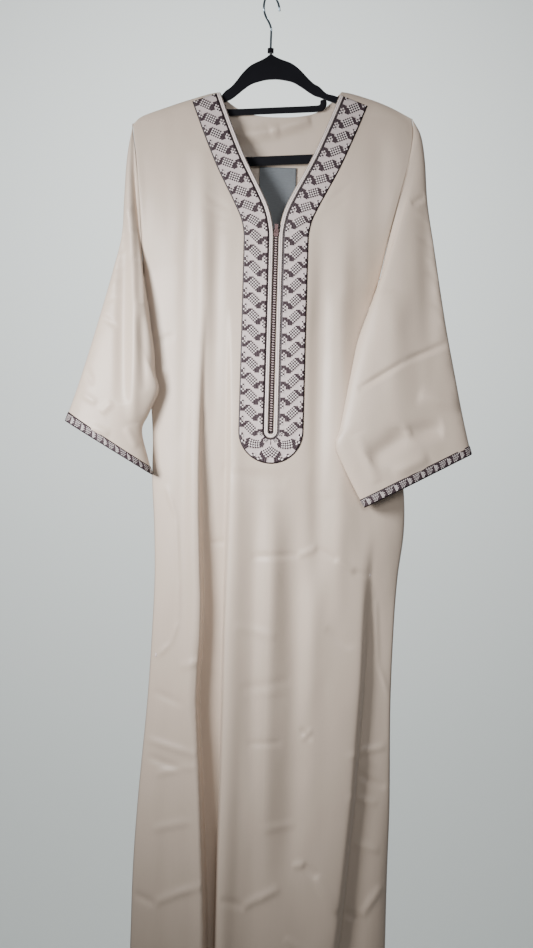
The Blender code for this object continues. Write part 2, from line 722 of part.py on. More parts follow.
def make_hanger():
    """The flocked body with its crown and arms, its two bars, the collar and the wire hook."""
    rows = [Arm(-arm.across, arm.top, arm.under) for arm in reversed(HANGER_ARM[1:])] + HANGER_ARM
    last = len(rows) - 1

    def point(part_across, part_down):
        arm = rows[round(part_across * last)]
        return on_hanger(arm.across, -HANGER_DEPTH / 2.0, mix(arm.top, arm.under, part_down))

    thicken(finish("hanger_body", sheet(last, 1, point), FLOCK, 0.95), HANGER_DEPTH)

    for name, bends, radius, steps in (("hanger_trouser_bar", TROUSER_BAR, TROUSER_BAR_RADIUS, 2),
                                       ("hanger_accessory_bar", ACCESSORY_BAR,
                                        ACCESSORY_BAR_RADIUS, 2)):
        route = smooth_route([on_hanger(bend.across, 0.0, bend.drop) for bend in bends], steps)
        tube(name, route, radius, 2, FLOCK, 0.95, flattened=BAR_FLATTENED)

    collar = rod("hanger_collar", (0, 0, -HANGER_TOP - 7.6), (0, 0, -HANGER_TOP), COLLAR_RADIUS)
    collar.data.materials[0].node_tree.nodes["Principled BSDF"].inputs[
        "Base Color"].default_value = FLOCK
    socket = rod("collar_socket", (0, 0, -HANGER_TOP - 6.3), (0, 0, -HANGER_TOP + 5.0),
                 HOOK_WIRE + COLLAR_CLEARANCE)
    cut(collar, socket, "DIFFERENCE")

    centre_drop = HOOK_RADIUS - HOOK_WIRE
    bends = [(bend.across, bend.drop) for bend in HOOK_RISE]
    for angle in range(HOOK_ARC_START, HOOK_ARC_END - 1, -HOOK_ARC_STEP):
        turn = math.radians(angle)
        bends.append((HOOK_RADIUS * math.cos(turn), centre_drop - HOOK_RADIUS * math.sin(turn)))
    points = [place(reach * math.cos(HOOK_SWIVEL), reach * math.sin(HOOK_SWIVEL), drop)
              for reach, drop in bends]
    tube("hanger_hook", smooth_route(points, 2), HOOK_WIRE, 2, STEEL, 0.15, 1.0)


def main():
    for old in list(bpy.data.objects):
        bpy.data.objects.remove(old, do_unlink=True)
    make_front()
    make_back()
    for side in SIDES:
        make_sleeve(side)
        make_cuff_band(side)
        make_pocket(side)
    neck_piece("neck_band", BAND_INNER, BAND_OUTER, 3, BAND_WALL, BAND_COLOUR)
    neck_piece("neck_cord", CORD_INNER, CORD_OUTER, 1, CORD_WALL, CORD_COLOUR)
    make_label()
    make_zip()
    make_hanger()


main()
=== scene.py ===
"""The looks of a satin thobe robe with a woven V band and a zip, on a flocked hanger."""
import functools
import math
from collections import namedtuple

import bmesh
import bpy
from bpy.props import FloatProperty, FloatVectorProperty, PointerProperty
from mathutils import Matrix, Vector, noise


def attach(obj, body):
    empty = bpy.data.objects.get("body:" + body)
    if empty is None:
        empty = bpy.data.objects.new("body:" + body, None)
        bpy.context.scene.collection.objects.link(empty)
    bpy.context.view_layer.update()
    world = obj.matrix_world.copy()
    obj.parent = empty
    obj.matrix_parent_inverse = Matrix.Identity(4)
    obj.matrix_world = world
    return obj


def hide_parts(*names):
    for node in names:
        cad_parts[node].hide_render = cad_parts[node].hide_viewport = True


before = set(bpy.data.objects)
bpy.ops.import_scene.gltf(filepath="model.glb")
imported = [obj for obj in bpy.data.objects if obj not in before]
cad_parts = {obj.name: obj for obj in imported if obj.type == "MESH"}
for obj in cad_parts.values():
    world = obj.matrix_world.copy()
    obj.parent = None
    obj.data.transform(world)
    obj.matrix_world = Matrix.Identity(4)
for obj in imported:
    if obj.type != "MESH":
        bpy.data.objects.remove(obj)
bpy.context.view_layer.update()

bl_info = {
    "name": "Thobe robe on its hanger",
    "version": (1, 0, 0),
    "blender": (4, 5, 0),
    "location": "View3D > Sidebar > Robe",
    "description": "Makes the cloth, bands, zip, label and hanger of a satin thobe robe",
    "category": "Object",
}

MM = 0.001
MERGE_WITHIN = 0.000002
ROBE = "robe"

# ---- sizes, in millimetres; "drop" is the distance below the seat of the hook ----------------
WALL = 0.8
SEAM_EDGE = 0.7
CENTRE = 17.0
UNDERARM = 450.0
HEM = 1600.0
HEM_WAVE = 3.0
HEM_WAVE_RUN = 34.0
HEM_WAVE_TOP = 1480.0
NECK_POINT = 98.0
ROOF = 9.0
FRONT_ARMHOLE = 15.0
BACK_ARMHOLE = 13.0
ARMHOLE_GAP = 0.9
SLIT_HALF = 4.0
SLIT_ROUND = 698.0
SLIT_END = 702.0
# How wide a strip lies still beside the neck's band, the shoulder and the side seams.
BAND_MARGIN = 14.0
SEAM_MARGIN = 12.0
BAND_FOOT = 754.0
SLEEVE_CLEAR = 3.4
SLEEVE_LAYER = 5.0
NECK_SCOOP = 192.0
SIDES = {"left": -1, "right": 1}


def rows_of(kind, rows):
    """Name the columns of each row of a table."""
    return [kind(*row) for row in rows]


Shoulder = namedtuple("Shoulder", "across drop")
SHOULDER_LINE = rows_of(Shoulder, [
    (-216, 210), (-209, 202), (-198, 195.5), (-163, 182),
    (-130, 170), (-81, 156), (17, 153), (115, 150),
    (163, 161), (195, 173), (229, 190),
])
SHOULDER_TIP = {"left": 210.0, "right": 190.0}

# The body at several drops: where its two edges run, and how deep its front and back stand.
Body = namedtuple("Body", "drop left right front back")
BODY = rows_of(Body, [
    (190, -216, 229, 12, 9), (215, -217, 232, 15, 11), (258, -211, 227, 19, 14),
    (322, -204, 212, 24, 18), (380, -199, 198, 28, 21), (450, -194, 184, 31, 24),
    (480, -190, 177, 32, 25), (520, -188, 176, 33, 26), (580, -184, 183, 34, 26),
    (640, -178, 198, 35, 27), (710, -172, 218, 36, 27), (780, -171, 232, 37, 28),
    (850, -166, 235, 38, 28), (925, -163, 227, 39, 29), (1000, -164, 223, 40, 30),
    (1130, -169, 221, 42, 31), (1290, -180, 224, 44, 32), (1400, -185, 223, 45, 33),
    (1525, -186, 223, 46, 34), (1600, -187, 223, 47, 35),
])

# Half the opening of the neckline, from the neck point down to the top of the zip.
Neck = namedtuple("Neck", "drop half")
NECKLINE = rows_of(Neck, [
    (150, 98), (187, 84), (222, 70), (257, 55), (285, 41),
    (312, 27), (345, 12), (376, 5), (400, 4), (700, 4),
])

# Folds run downwards. "at_top", "at_middle" and "at_end" are places across; the two widths are
# those of its left and right flank; a positive depth goes in and a negative one stands out.
Fold = namedtuple("Fold", "top end fade at_top at_middle at_end left right depth")
FRONT_FOLDS = rows_of(Fold, [
    (215, 1060, 220, -130, -126, -118, 13, 13, 6),
    (215, 1060, 220, -102, -99, -96, 13, 13, -4),
    (260, 760, 200, -78, -76, -72, 11, 11, 4),
    (300, 1060, 220, 90, 94, 98, 15, 15, 6),
    (300, 1060, 220, 126, 129, 132, 14, 14, -5),
    (700, 1320, 200, -6, -2, 2, 14, 14, 4),
    (700, 1500, 240, 24, 24, 26, 15, 15, -4),
    (400, 820, 180, -108, -103, -84, 20, 22, 4),
    (840, 1700, 220, 190, 166, 131, 8, 56, 26),
    (820, 1700, 260, 172, 150, 113, 30, 11, -8),
    (760, 1500, 200, 54, 70, 62, 24, 22, 10),
    (880, 1240, 120, 98, 88, 77, 16, 16, -4),
    (205, 460, 60, 183, 186, 190, 18, 16, 5),
    (240, 1000, 160, -134, -128, -120, 14, 14, -4),
    (420, 1000, 200, 140, 146, 150, 16, 16, -4),
    (1250, 1700, 160, 10, 8, 4, 30, 30, 5),
    (900, 1700, 160, -138, -134, -130, 16, 20, 6),
])
# The recessed pleat to the left of the middle: its two edges and how far back it stands.
Pleat = namedtuple("Pleat", "drop left right depth")
PLEAT = rows_of(Pleat, [
    (500, -96, -52, 0), (640, -98, -48, 8), (780, -97, -45, 20),
    (900, -95, -43, 28), (990, -92, -42, 32), (1130, -97, -41, 35),
    (1232, -87, -41, 37), (1419, -74, -42, 39), (1527, -68, -44, 40),
    (1620, -66, -45, 41),
])
PLEAT_EDGE = 7.0
# The soft lip beside each edge: its part of the depth, its place outside the edge, its widths.
PLEAT_LIP = 0.16
PLEAT_LIP_OUT = 9.0
PLEAT_LIP_LEFT = 9.0
PLEAT_LIP_RIGHT = 11.0
BACK_FOLDS = rows_of(Fold, [
    (300, 1700, 300, -118, -110, -96, 24, 20, 12),
    (420, 1700, 300, -30, -34, -42, 22, 24, 14),
    (380, 1700, 320, 70, 74, 80, 24, 22, 13),
    (520, 1700, 260, 150, 152, 156, 18, 22, 10),
    (260, 900, 160, 20, 18, 14, 26, 26, -4),
])
Lean = namedtuple("Lean", "top end fade at_top at_middle at_end width push")
FRONT_LEANS = rows_of(Lean, [
    (880, 1700, 240, 172, 150, 118, 16, 9),
    (720, 1700, 320, -100, -98, -74, 14, 7),
    (720, 1700, 320, -40, -38, -38, 12, -6),
])

Sleeve = namedtuple("Sleeve", "outer outer_drop inner inner_drop half at_outer at_inner")
SLEEVES = {
    "left": rows_of(Sleeve, [
        (-216, 210, -194, 450, 14, 0, 0), (-222, 238, -191, 476, 15, -2, -6),
        (-226, 275, -184, 504, 16, -4, -12), (-228, 330, -178, 540, 18, -6, -17),
        (-230, 390, -172, 576, 20, -7, -21), (-242, 445, -169, 610, 22, -8, -24),
        (-256, 500, -163, 638, 24, -8, -26), (-275, 570, -178, 676, 26, -8, -24),
        (-293, 632, -188, 702, 28, -8, -20), (-306, 672, -178, 744, 30, -8, -17),
        (-312, 690, -170, 772, 31, -8, -16),
    ]),
    "right": rows_of(Sleeve, [
        (229, 190, 184, 450, 14, 0, 0), (244, 215, 184, 474, 14, -2, -7),
        (252, 257, 168, 502, 15, -4, -15), (258, 326, 152, 548, 16, -6, -24),
        (270, 396, 142, 600, 17, -8, -32), (282, 465, 133, 652, 17, -9, -38),
        (294, 530, 126, 692, 17, -10, -42), (310, 605, 120, 718, 17, -10, -44),
        (322, 660, 135, 754, 17, -10, -43), (333, 705, 158, 797, 17, -10, -41),
        (339, 726, 169, 815, 17, -10, -40),
    ]),
}

# Creases left by packing and by the hang of the cloth: a soft line from one place to another.
# A positive height is a ridge and a negative one a trough.
Crease = namedtuple("Crease", "across drop to_across to_drop width height")
CREASE_RISE = 1.4
FRONT_CREASES = rows_of(Crease, [
    (-78, 880, -40, 876, 5, -0.9), (-8, 899, 66, 895, 5, -1.3),
    (66, 896, 96, 883, 5, 1.2), (92, 882, 128, 902, 5, -1.3),
    (124, 900, 156, 920, 5, 1.3), (152, 918, 182, 926, 5, -1.1),
    (-6, 1195, 48, 1192, 5, -1.0), (-172, 1196, -92, 1216, 6, 1.5),
    (-166, 1224, -108, 1242, 6, -1.5), (-152, 1252, -94, 1234, 6, 1.3),
    (146, 1212, 216, 1199, 6, 1.6), (158, 1238, 215, 1264, 6, -1.6),
    (146, 1276, 204, 1290, 6, 1.3), (-186, 1445, -145, 1458, 7, -1.8),
    (-150, 1458, -72, 1418, 7, 1.9), (-38, 1442, -4, 1455, 7, -1.6),
    (-8, 1455, 52, 1422, 7, 1.9), (70, 1388, 90, 1384, 6, 1.6),
    (86, 1384, 109, 1404, 6, -1.6), (105, 1400, 133, 1456, 7, 1.9),
    (131, 1463, 186, 1473, 7, -1.8), (181, 1473, 216, 1421, 7, 1.8),
    (76, 1169, 94, 1187, 4, -1.6), (94, 1167, 78, 1186, 4, 1.3),
    (-98, 326, -58, 348, 4, -0.9), (-104, 346, -52, 366, 4, -0.9),
    (-98, 368, -48, 380, 4, -0.8), (134, 300, 96, 330, 4, -0.8),
    (128, 328, 82, 356, 4, -0.8), (-168, 560, -140, 551, 4, -1.1),
    (-165, 604, -150, 612, 4, 0.9), (-149, 790, -131, 838, 4, 1.1),
    (-132, 834, -125, 934, 4, 1.1), (-125, 930, -124, 1006, 4, 1.0),
    (-124, 1003, -134, 1040, 4, 1.1), (-131, 1036, -158, 1063, 4, 1.1),
    (190, 962, 197, 1070, 4, 1.0), (197, 1066, 219, 1120, 4, 1.1),
    (-166, 800, -163, 888, 3, 1.6), (-118, 1080, -84, 1062, 6, 1.2),
    (20, 1330, 74, 1322, 7, 0.9), (-30, 1010, 34, 1026, 8, 0.8),
    (-20, 1110, 60, 1094, 8, -0.8), (112, 1010, 150, 1040, 7, -1.0),
    (-155, 1340, -96, 1322, 7, 1.2), (160, 1350, 208, 1366, 7, 1.3),
    (-160, 1120, -112, 1138, 6, -0.9), (60, 1500, 102, 1528, 7, 1.5),
    (-110, 250, -96, 560, 16, 1.8), (110, 470, 104, 800, 18, 2.0),
    (-60, 760, 40, 786, 14, -1.0), (16, 800, 20, 1120, 24, 1.8),
])
BACK_CREASES = rows_of(Crease, [
    (-52, 228, 18, 215, 11, -4.0), (4, 218, 68, 197, 11, -4.0), (-150, 560, -60, 590, 8, 1.5),
    (-40, 640, 60, 622, 8, -1.4), (70, 700, 180, 742, 8, 1.6),
    (-160, 876, -90, 884, 5, -1.2), (-80, 884, 20, 876, 5, 1.3),
    (20, 878, 110, 890, 5, -1.2), (-150, 1204, -40, 1194, 6, 1.5),
    (-30, 1196, 84, 1212, 6, -1.4), (90, 1214, 208, 1196, 6, 1.5),
    (-168, 1446, -92, 1420, 7, 1.8), (-88, 1420, -10, 1452, 7, -1.7),
    (-6, 1452, 82, 1424, 7, 1.8), (88, 1426, 196, 1460, 7, -1.7),
    (-120, 400, -96, 520, 12, 1.8), (136, 430, 110, 560, 12, -1.8),
])
SLEEVE_CREASES = {
    "left": rows_of(Crease, [
        (-262, 522, -233, 538, 4, -1.9), (-284, 604, -268, 632, 6, -1.6),
        (-252, 678, -234, 660, 6, 1.5), (-209, 430, -204, 690, 10, 4.5),
        (-229, 360, -223, 660, 12, -4.6), (-214, 236, -200, 500, 9, -6.0),
        (-196, 520, -186, 640, 7, -1.8), (-286, 648, -262, 662, 6, 1.4),
        (-270, 700, -240, 712, 8, 1.6), (-214, 700, -196, 730, 7, 1.6),
    ]),
    "right": rows_of(Crease, [
        (154, 630, 230, 581, 5, -2.0), (226, 583, 302, 548, 5, -2.2),
        (176, 744, 236, 700, 17, -4.2), (236, 700, 290, 690, 15, -3.4),
        (250, 640, 318, 652, 14, 2.4), (214, 762, 268, 736, 12, 2.4),
        (196, 470, 214, 690, 24, 2.6), (250, 330, 262, 560, 16, -2.4),
        (150, 700, 184, 776, 10, 1.6), (232, 330, 254, 318, 6, -1.5),
    ]),
}
# Short puckers along the outer seam of each sleeve: a drop, a length and a height.
OUTER_SEAM_TOP = 203.0
OUTER_SEAM_FALL = 500.0
Pucker = namedtuple("Pucker", "drop length height")
SEAM_PUCKERS = rows_of(Pucker, [
    (352, 18, 1.2), (392, 26, -1.4), (424, 16, 1.3), (447, 22, -1.5),
    (471, 15, 1.2), (498, 28, -1.8), (522, 18, 1.5), (549, 24, -1.6),
    (570, 15, 1.3), (592, 22, -1.7), (618, 17, 1.4), (637, 26, -1.5),
    (661, 15, 1.3), (682, 18, -1.3),
])

# ---- the bands, the cord and the zip ---------------------------------------------------------
# One repeat of the neck band, from its outer edge to its inner edge, and of the cuff band.
# "#" is dark thread, "o" is bright thread, and "." is the figured ground.
NECK_CHART = [
    "o#.###......#o",
    "#o###o#.....o#",
    "####o#o#......",
    "###o#o#o#.....",
    "...#o#o#o#....",
    "....#o#o#o.###",
    ".....#o#o#####",
    "o#....#o####o#",
    "#o.....####.#.",
    "#.......###.o#",
]
CUFF_CHART = [
    "#o#o#o#o#####o",
    "##o#o#o####ooo",
    "###o#o#o##oooo",
    "##o#o#o####ooo",
    "###o#o#o##oooo",
    "####o#o####ooo",
    "#####o#o####oo",
]
GROUND, BRIGHT, DARK, EDGE = range(4)
THREADS = {".": GROUND, "o": BRIGHT, "#": DARK}
BAND_INNER = 7.1
BAND_OUTER = 47.6
BAND_INNER_LINE = 2.7
BAND_OUTER_LINE = 2.1
BAND_RISE = 0.7
BAND_WALL = 0.5
TRIM_WALL = 0.6
STITCH_EDGE = 0.32
STITCH_RISE = 0.4
CORD_INNER = 0.5
CORD_OUTER = 6.8
CORD_RISE = 0.5
CORD_RIBS = 2.0
CORD_PITCH = 3.4
NECK_END_DROP = 1.2
CUFF_DEPTH = 14.0
CUFF_REPEATS = 17
CHAIN_TOP = 388.5
CHAIN_END = 698.0
CHAIN_PITCH = 4.0
CHAIN_BED = 5.2
TOOTH = Vector((3.2, 1.6, 1.5))
TOOTH_ASIDE = 0.95
CHAIN_THREAD = Vector((3.6, 1.3, 0.8))
TAPE_HALF = 12.0
TAPE_TOP = 382.0
TAPE_END = 716.0
TAPE_BEHIND = 1.9
LABEL_HALF = 29.5
LABEL_TOP = 272.0
LABEL_END = 372.0
LABEL_LIFT = 2.7
POCKET_BEHIND = 3.2
Pocket = namedtuple("Pocket", "top end at_seam reach")
POCKETS = {"left": Pocket(800, 1058, -157, -126), "right": Pocket(922, 1110, 215, 192)}
Tack = namedtuple("Tack", "across drop")
POCKET_TACKS = rows_of(Tack, [(-124, 938), (-157, 1060), (182, 921)])

# ---- the hanger ------------------------------------------------------------------------------
HANGER_TOP = 83.25
HANGER_TILT = math.radians(4.0)
HANGER_DEPTH = 4.6
Arm = namedtuple("Arm", "across top under")
HANGER_ARM = rows_of(Arm, [
    (0, 8, 50), (5, 12.5, 50), (14, 17.5, 51), (33, 26, 56), (46, 37, 64),
    (58, 51, 73), (67, 60, 79), (75, 65, 82), (86, 76, 87), (98, 80, 92),
    (120, 89, 102), (150, 101, 115), (185, 117, 131), (207, 130, 144),
    (217, 142, 151),
])
Bend = namedtuple("Bend", "across drop")
TROUSER_BAR = rows_of(Bend, [
    (-210, 147), (-209, 162), (-203, 173), (-190, 179), (-170, 180),
    (0, 180), (170, 180), (190, 179), (203, 173), (209, 162),
    (210, 147),
])
ACCESSORY_BAR = rows_of(Bend, [
    (-81, 89.5), (-80, 95), (-75, 99), (-60, 100), (0, 100), (60, 100),
    (75, 99), (80, 95), (81, 89.5),
])
TROUSER_BAR_RADIUS = 7.6
ACCESSORY_BAR_RADIUS = 5.4
BAR_FLATTENED = 0.4
HOOK_WIRE = 1.75
HOOK_RADIUS = 22.0
HOOK_SWIVEL = math.radians(55.0)
HOOK_RISE = rows_of(Bend, [(0, 89), (0, 70), (0, 54), (-3, 47), (-9, 41)])
HOOK_ARC = (226, 6, 20)


# ---- reading the tables --------------------------------------------------------------------
def mix(low, high, part):
    """A value between two others."""
    return low + (high - low) * part


def ease(part):
    """Nought to one with level ends."""
    part = min(max(part, 0.0), 1.0)
    return part * part * (3.0 - 2.0 * part)


@functools.lru_cache(maxsize=None)
def table(rows_name, key, column):
    """The marks and the values of one column of a table."""
    rows = TABLES[rows_name]
    return [getattr(row, key) for row in rows], [getattr(row, column) for row in rows]


def smooth_read(marks, values, at):
    """Read a list of values smoothly between its marks."""
    if at <= marks[0]:
        return values[0]
    if at >= marks[-1]:
        return values[-1]
    low = 0
    while marks[low + 1] < at:
        low += 1
    after = min(low + 2, len(marks) - 1)
    before = max(low - 1, 0)
    span = marks[low + 1] - marks[low]
    slope = (values[low + 1] - values[before]) / (marks[low + 1] - marks[before]) * span
    next_slope = (values[after] - values[low]) / (marks[after] - marks[low]) * span
    part = (at - marks[low]) / span
    square = part * part
    cube = square * part
    return (values[low] * (2 * cube - 3 * square + 1) + slope * (cube - 2 * square + part)
            + values[low + 1] * (3 * square - 2 * cube) + next_slope * (cube - square))


@functools.lru_cache(maxsize=200000)
def read(rows_name, key, column, at):
    return smooth_read(*table(rows_name, key, column), at)


TABLES = {"shoulder": SHOULDER_LINE, "body": BODY, "neck": NECKLINE, "arm": HANGER_ARM,
          "pleat": PLEAT}


# ---- the shape of the cloth ----------------------------------------------------------------
def shoulder_drop(across):
    return read("shoulder", "across", "drop", across)


def body_edge(side, drop):
    return read("body", "drop", side, drop)


def neck_half(drop):
    return read("neck", "drop", "half", drop)


def run_of(line, drop):
    """Where a fold's line is at a drop, and how far the fold has come up from its ends."""
    part = (drop - line.top) / (line.end - line.top)
    upper = mix(line.at_top, line.at_middle, min(part * 2.0, 1.0))
    across = upper if part < 0.5 else mix(line.at_middle, line.at_end, part * 2.0 - 1.0)
    strength = ease((drop - line.top) / line.fade) * ease((line.end - drop) / line.fade)
    return across, strength


def folded(folds, across, drop):
    """How far the folds take a point inwards."""
    total = 0.0
    for fold in folds:
        if fold.top < drop < fold.end:
            line, strength = run_of(fold, drop)
            width = fold.left if across < line else fold.right
            total += fold.depth * strength * math.exp(-((across - line) / width) ** 2)
    return total


def creased(creases, across, drop):
    """How far the creases take a point outwards."""
    total = 0.0
    for crease in creases:
        reach = 2.5 * crease.width
        if (min(crease.drop, crease.to_drop) - reach < drop
                < max(crease.drop, crease.to_drop) + reach):
            run = crease.to_across - crease.across
            fall = crease.to_drop - crease.drop
            length = math.hypot(run, fall)
            ahead = ((across - crease.across) * run + (drop - crease.drop) * fall) / length ** 2
            aside = ((across - crease.across) * fall - (drop - crease.drop) * run) / length
            if 0.0 < ahead < 1.0 and abs(aside) < reach:
                taper = math.sqrt(4.0 * ahead * (1.0 - ahead))
                off = aside / crease.width
                height = CREASE_RISE * crease.height * taper
                total += height * (1.0 + 0.7 * off) * math.exp(-off * off)
    return total


def rumpled(across, drop, seed):
    """The slight unevenness of hanging cloth, longer downwards than across."""
    broad = noise.noise(Vector((across / 60.0, drop / 210.0, seed)))
    fine = noise.noise(Vector((across / 21.0, drop / 46.0, seed + 7.3)))
    return 1.5 * broad + 0.42 * fine


def panel_depth(column, opening, folds, across, drop):
    """How far the front or the back stands out from the middle plane at a point."""
    side = "left" if across < CENTRE else "right"
    reach = abs(body_edge(side, drop) - CENTRE)
    outward = min(abs(across - CENTRE) / reach, 1.0)
    crown = (1.0 - outward ** 2.5) ** 0.8
    along = (drop - SHOULDER_TIP[side]) / (UNDERARM - SHOULDER_TIP[side])
    open_edge = 0.0
    if 0.0 < along < 1.0:
        open_edge = opening * (4.0 * along * (1.0 - along)) ** 1.3
    fullness = read("body", "drop", column, drop) - SEAM_EDGE
    roof = 1.0 - math.exp(-max(drop - shoulder_drop(across), 0.0) / ROOF)
    depth = open_edge + (fullness - open_edge) * crown - folded(folds, across, drop) * crown
    return SEAM_EDGE + depth * roof


def pleated(across, drop):
    """How far the pleat takes a point of the front inwards, with a soft lip on both edges."""
    if drop < PLEAT[0].drop:
        return 0.0
    left = read("pleat", "drop", "left", drop)
    right = read("pleat", "drop", "right", drop)
    depth = read("pleat", "drop", "depth", drop)
    recess = ease((across - left) / PLEAT_EDGE) * ease((right - across) / PLEAT_EDGE)
    left_lip = math.exp(-((across - left + PLEAT_LIP_OUT) / PLEAT_LIP_LEFT) ** 2)
    right_lip = math.exp(-((across - right - PLEAT_LIP_OUT) / PLEAT_LIP_RIGHT) ** 2)
    return depth * (recess - PLEAT_LIP * (left_lip + right_lip))


def front_y(across, drop):
    side = "left" if across < CENTRE else "right"
    room = ease(abs(body_edge(side, drop) - across) / 60.0)
    return (room * pleated(across, drop)
            - panel_depth("front", FRONT_ARMHOLE, FRONT_FOLDS, across, drop))


def back_y(across, drop):
    return panel_depth("back", BACK_ARMHOLE, BACK_FOLDS, across, drop)


def still(across, drop):
    """Nought where the band lies or a seam runs, one on the free cloth."""
    side = "left" if across < CENTRE else "right"
    from_edge = abs(body_edge(side, drop) - across)
    from_band = 1.0
    if drop < BAND_FOOT + BAND_MARGIN:
        from_band = ease((abs(across - CENTRE) - neck_half(drop) - BAND_OUTER) / BAND_MARGIN)
        from_band = max(from_band, ease((drop - BAND_FOOT) / BAND_MARGIN))
    from_shoulder = ease((drop - shoulder_drop(across)) / BAND_MARGIN)
    return ease(from_edge / SEAM_MARGIN) * from_band * from_shoulder


def leaning(across, drop):
    """The sideways push of the cloth at a point of the front."""
    total = 0.0
    for lean in FRONT_LEANS:
        if lean.top < drop:
            line, strength = run_of(lean, drop)
            total += lean.push * strength * math.exp(-((across - line) / lean.width) ** 2)
    return total


def place(across, y, drop):
    """A point in metres from its place in millimetres."""
    return Vector((across, y, -drop)) * MM


# ---- mesh helpers ----------------------------------------------------------------------------
def grid(columns, rows, point, closed=False, thread_at=None):
    """A grid placed by a function of its column and row, both from 0 to 1.

    A woven piece also gives the thread of each of its cells.
    """
    mesh = bmesh.new()
    bmesh.ops.create_grid(mesh, x_segments=columns, y_segments=rows, size=0.5)
    if thread_at:
        chart_faces(mesh, columns, rows, thread_at)
    for vertex in mesh.verts:
        vertex.co = point(vertex.co.x + 0.5, 0.5 - vertex.co.y)
    if closed:
        bmesh.ops.remove_doubles(mesh, verts=mesh.verts, dist=MERGE_WITHIN)
    return mesh


def face_towards(mesh, outward):
    """Turn a sheet's faces over if most of them point the other way."""
    mesh.normal_update()
    if sum(face.normal.dot(outward) for face in mesh.faces) < 0.0:
        bmesh.ops.reverse_faces(mesh, faces=mesh.faces)


def piece(name, mesh, materials, body=ROBE, nodes=()):
    """One finished object from a bmesh, on its body and in place of its frame nodes."""
    data = bpy.data.meshes.new(name)
    mesh.to_mesh(data)
    mesh.free()
    for material in materials:
        data.materials.append(material)
    data.shade_smooth()
    made = bpy.data.objects.new(name, data)
    bpy.context.collection.objects.link(made)
    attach(made, body)
    if nodes:
        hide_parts(*nodes)
    return made


def thicken(made, wall, offset=-1.0):
    """Give a sheet its wall, inwards from its outer face."""
    solid = made.modifiers.new("wall", "SOLIDIFY")
    solid.thickness = wall * MM
    solid.offset = offset
    return made


# ---- shader helpers --------------------------------------------------------------------------
class Wire:
    """A node's output that can be used in sums."""

    def __init__(self, finish, socket):
        self.finish = finish
        self.socket = socket

    def maths(self, operation, first, second):
        return self.finish.node("ShaderNodeMath", {"operation": operation},
                                {0: first, 1: second})

    def __add__(self, other):
        return self.maths("ADD", self, other)

    def __mul__(self, other):
        return self.maths("MULTIPLY", self, other)

    __radd__ = __add__
    __rmul__ = __mul__


class Finish:
    """A material in the making, with its shader and one way to add any other node."""

    def __init__(self, name, colour, roughness, constants=None):
        self.material = bpy.data.materials.new(name)
        self.material.use_nodes = True
        self.tree = self.material.node_tree
        self.shader = self.tree.nodes["Principled BSDF"]
        self.feed("Base Color", (*colour, 1.0))
        self.feed("Roughness", roughness)
        for socket, value in (constants or {}).items():
            self.feed(socket, value)

    def node(self, kind, settings, inputs, output=0):
        """Add a node: its settings first, then the values or links of its sockets."""
        made = self.tree.nodes.new(kind)
        for words, value in settings.items():
            setattr(made, words, value)
        for socket, value in inputs.items():
            self.join(made.inputs[socket], value)
        return Wire(self, made.outputs[output])

    def join(self, socket, value):
        if isinstance(value, Wire):
            self.tree.links.new(value.socket, socket)
        else:
            socket.default_value = value

    def feed(self, socket, value):
        self.join(self.shader.inputs[socket], value)

    def place(self, scale):
        """Object coordinates stretched by a scale along each axis."""
        spot = self.node("ShaderNodeTexCoord", {}, {}, "Object")
        return self.node("ShaderNodeMapping", {}, {"Vector": spot, "Scale": scale})

    def grain(self, scale, detail=2.0, stretch=(1.0, 1.0, 1.0)):
        """Even noise from 0 to 1."""
        return self.node("ShaderNodeTexNoise", {},
                         {"Vector": self.place(stretch), "Scale": scale, "Detail": detail})

    def blend(self, amount, low, high):
        """A colour between two others."""
        return self.node("ShaderNodeMix", {"data_type": "RGBA"},
                         {0: amount, 6: (*low, 1.0), 7: (*high, 1.0)}, 2)

    def raise_by(self, height, strength, distance):
        """Relief from a height."""
        bump = self.node("ShaderNodeBump", {}, {"Height": height, "Strength": strength,
                                               "Distance": distance})
        self.feed("Normal", bump)


def shade(colour, by):
    """A colour made lighter or darker."""
    return tuple(min(channel * by, 1.0) for channel in colour)


def once(maker):
    """Keep one material for all the pieces that share it."""
    @functools.lru_cache(maxsize=None)
    def kept():
        return maker(bpy.context.scene.robe_look)
    return kept


@once
def satin(look):
    """Warp-faced satin: fine threads down the cloth, a soft gloss and a faint unevenness."""
    finish = Finish("satin", look.satin, 0.42, {"Sheen Weight": 0.25, "Sheen Roughness": 0.4,
                                                "Specular IOR Level": 0.42})
    uneven = finish.grain(7.0, 3.0, (1.0, 1.0, 0.45))
    streak = finish.grain(420.0, 1.0, (1.0, 1.0, 0.05))
    finish.feed("Base Color", finish.blend(uneven * 0.7 + streak * 0.3,
                                           shade(look.satin, 0.93), shade(look.satin, 1.06)))
    finish.feed("Roughness", 0.34 + uneven * 0.14)
    warp = finish.node("ShaderNodeTexWave", {"wave_type": "BANDS", "bands_direction": "X"},
                       {"Vector": finish.place((1.0, 1.0, 0.04)), "Scale": 900.0,
                        "Distortion": 1.2, "Detail": 1.0})
    weft = finish.node("ShaderNodeTexWave", {"wave_type": "BANDS", "bands_direction": "Z"},
                       {"Vector": finish.place((1.0, 1.0, 1.0)), "Scale": 700.0,
                        "Distortion": 1.0, "Detail": 1.0})
    finish.raise_by(warp * 0.6 + weft * 0.25 + streak * 0.5, 0.10, 0.0006)
    return finish.material


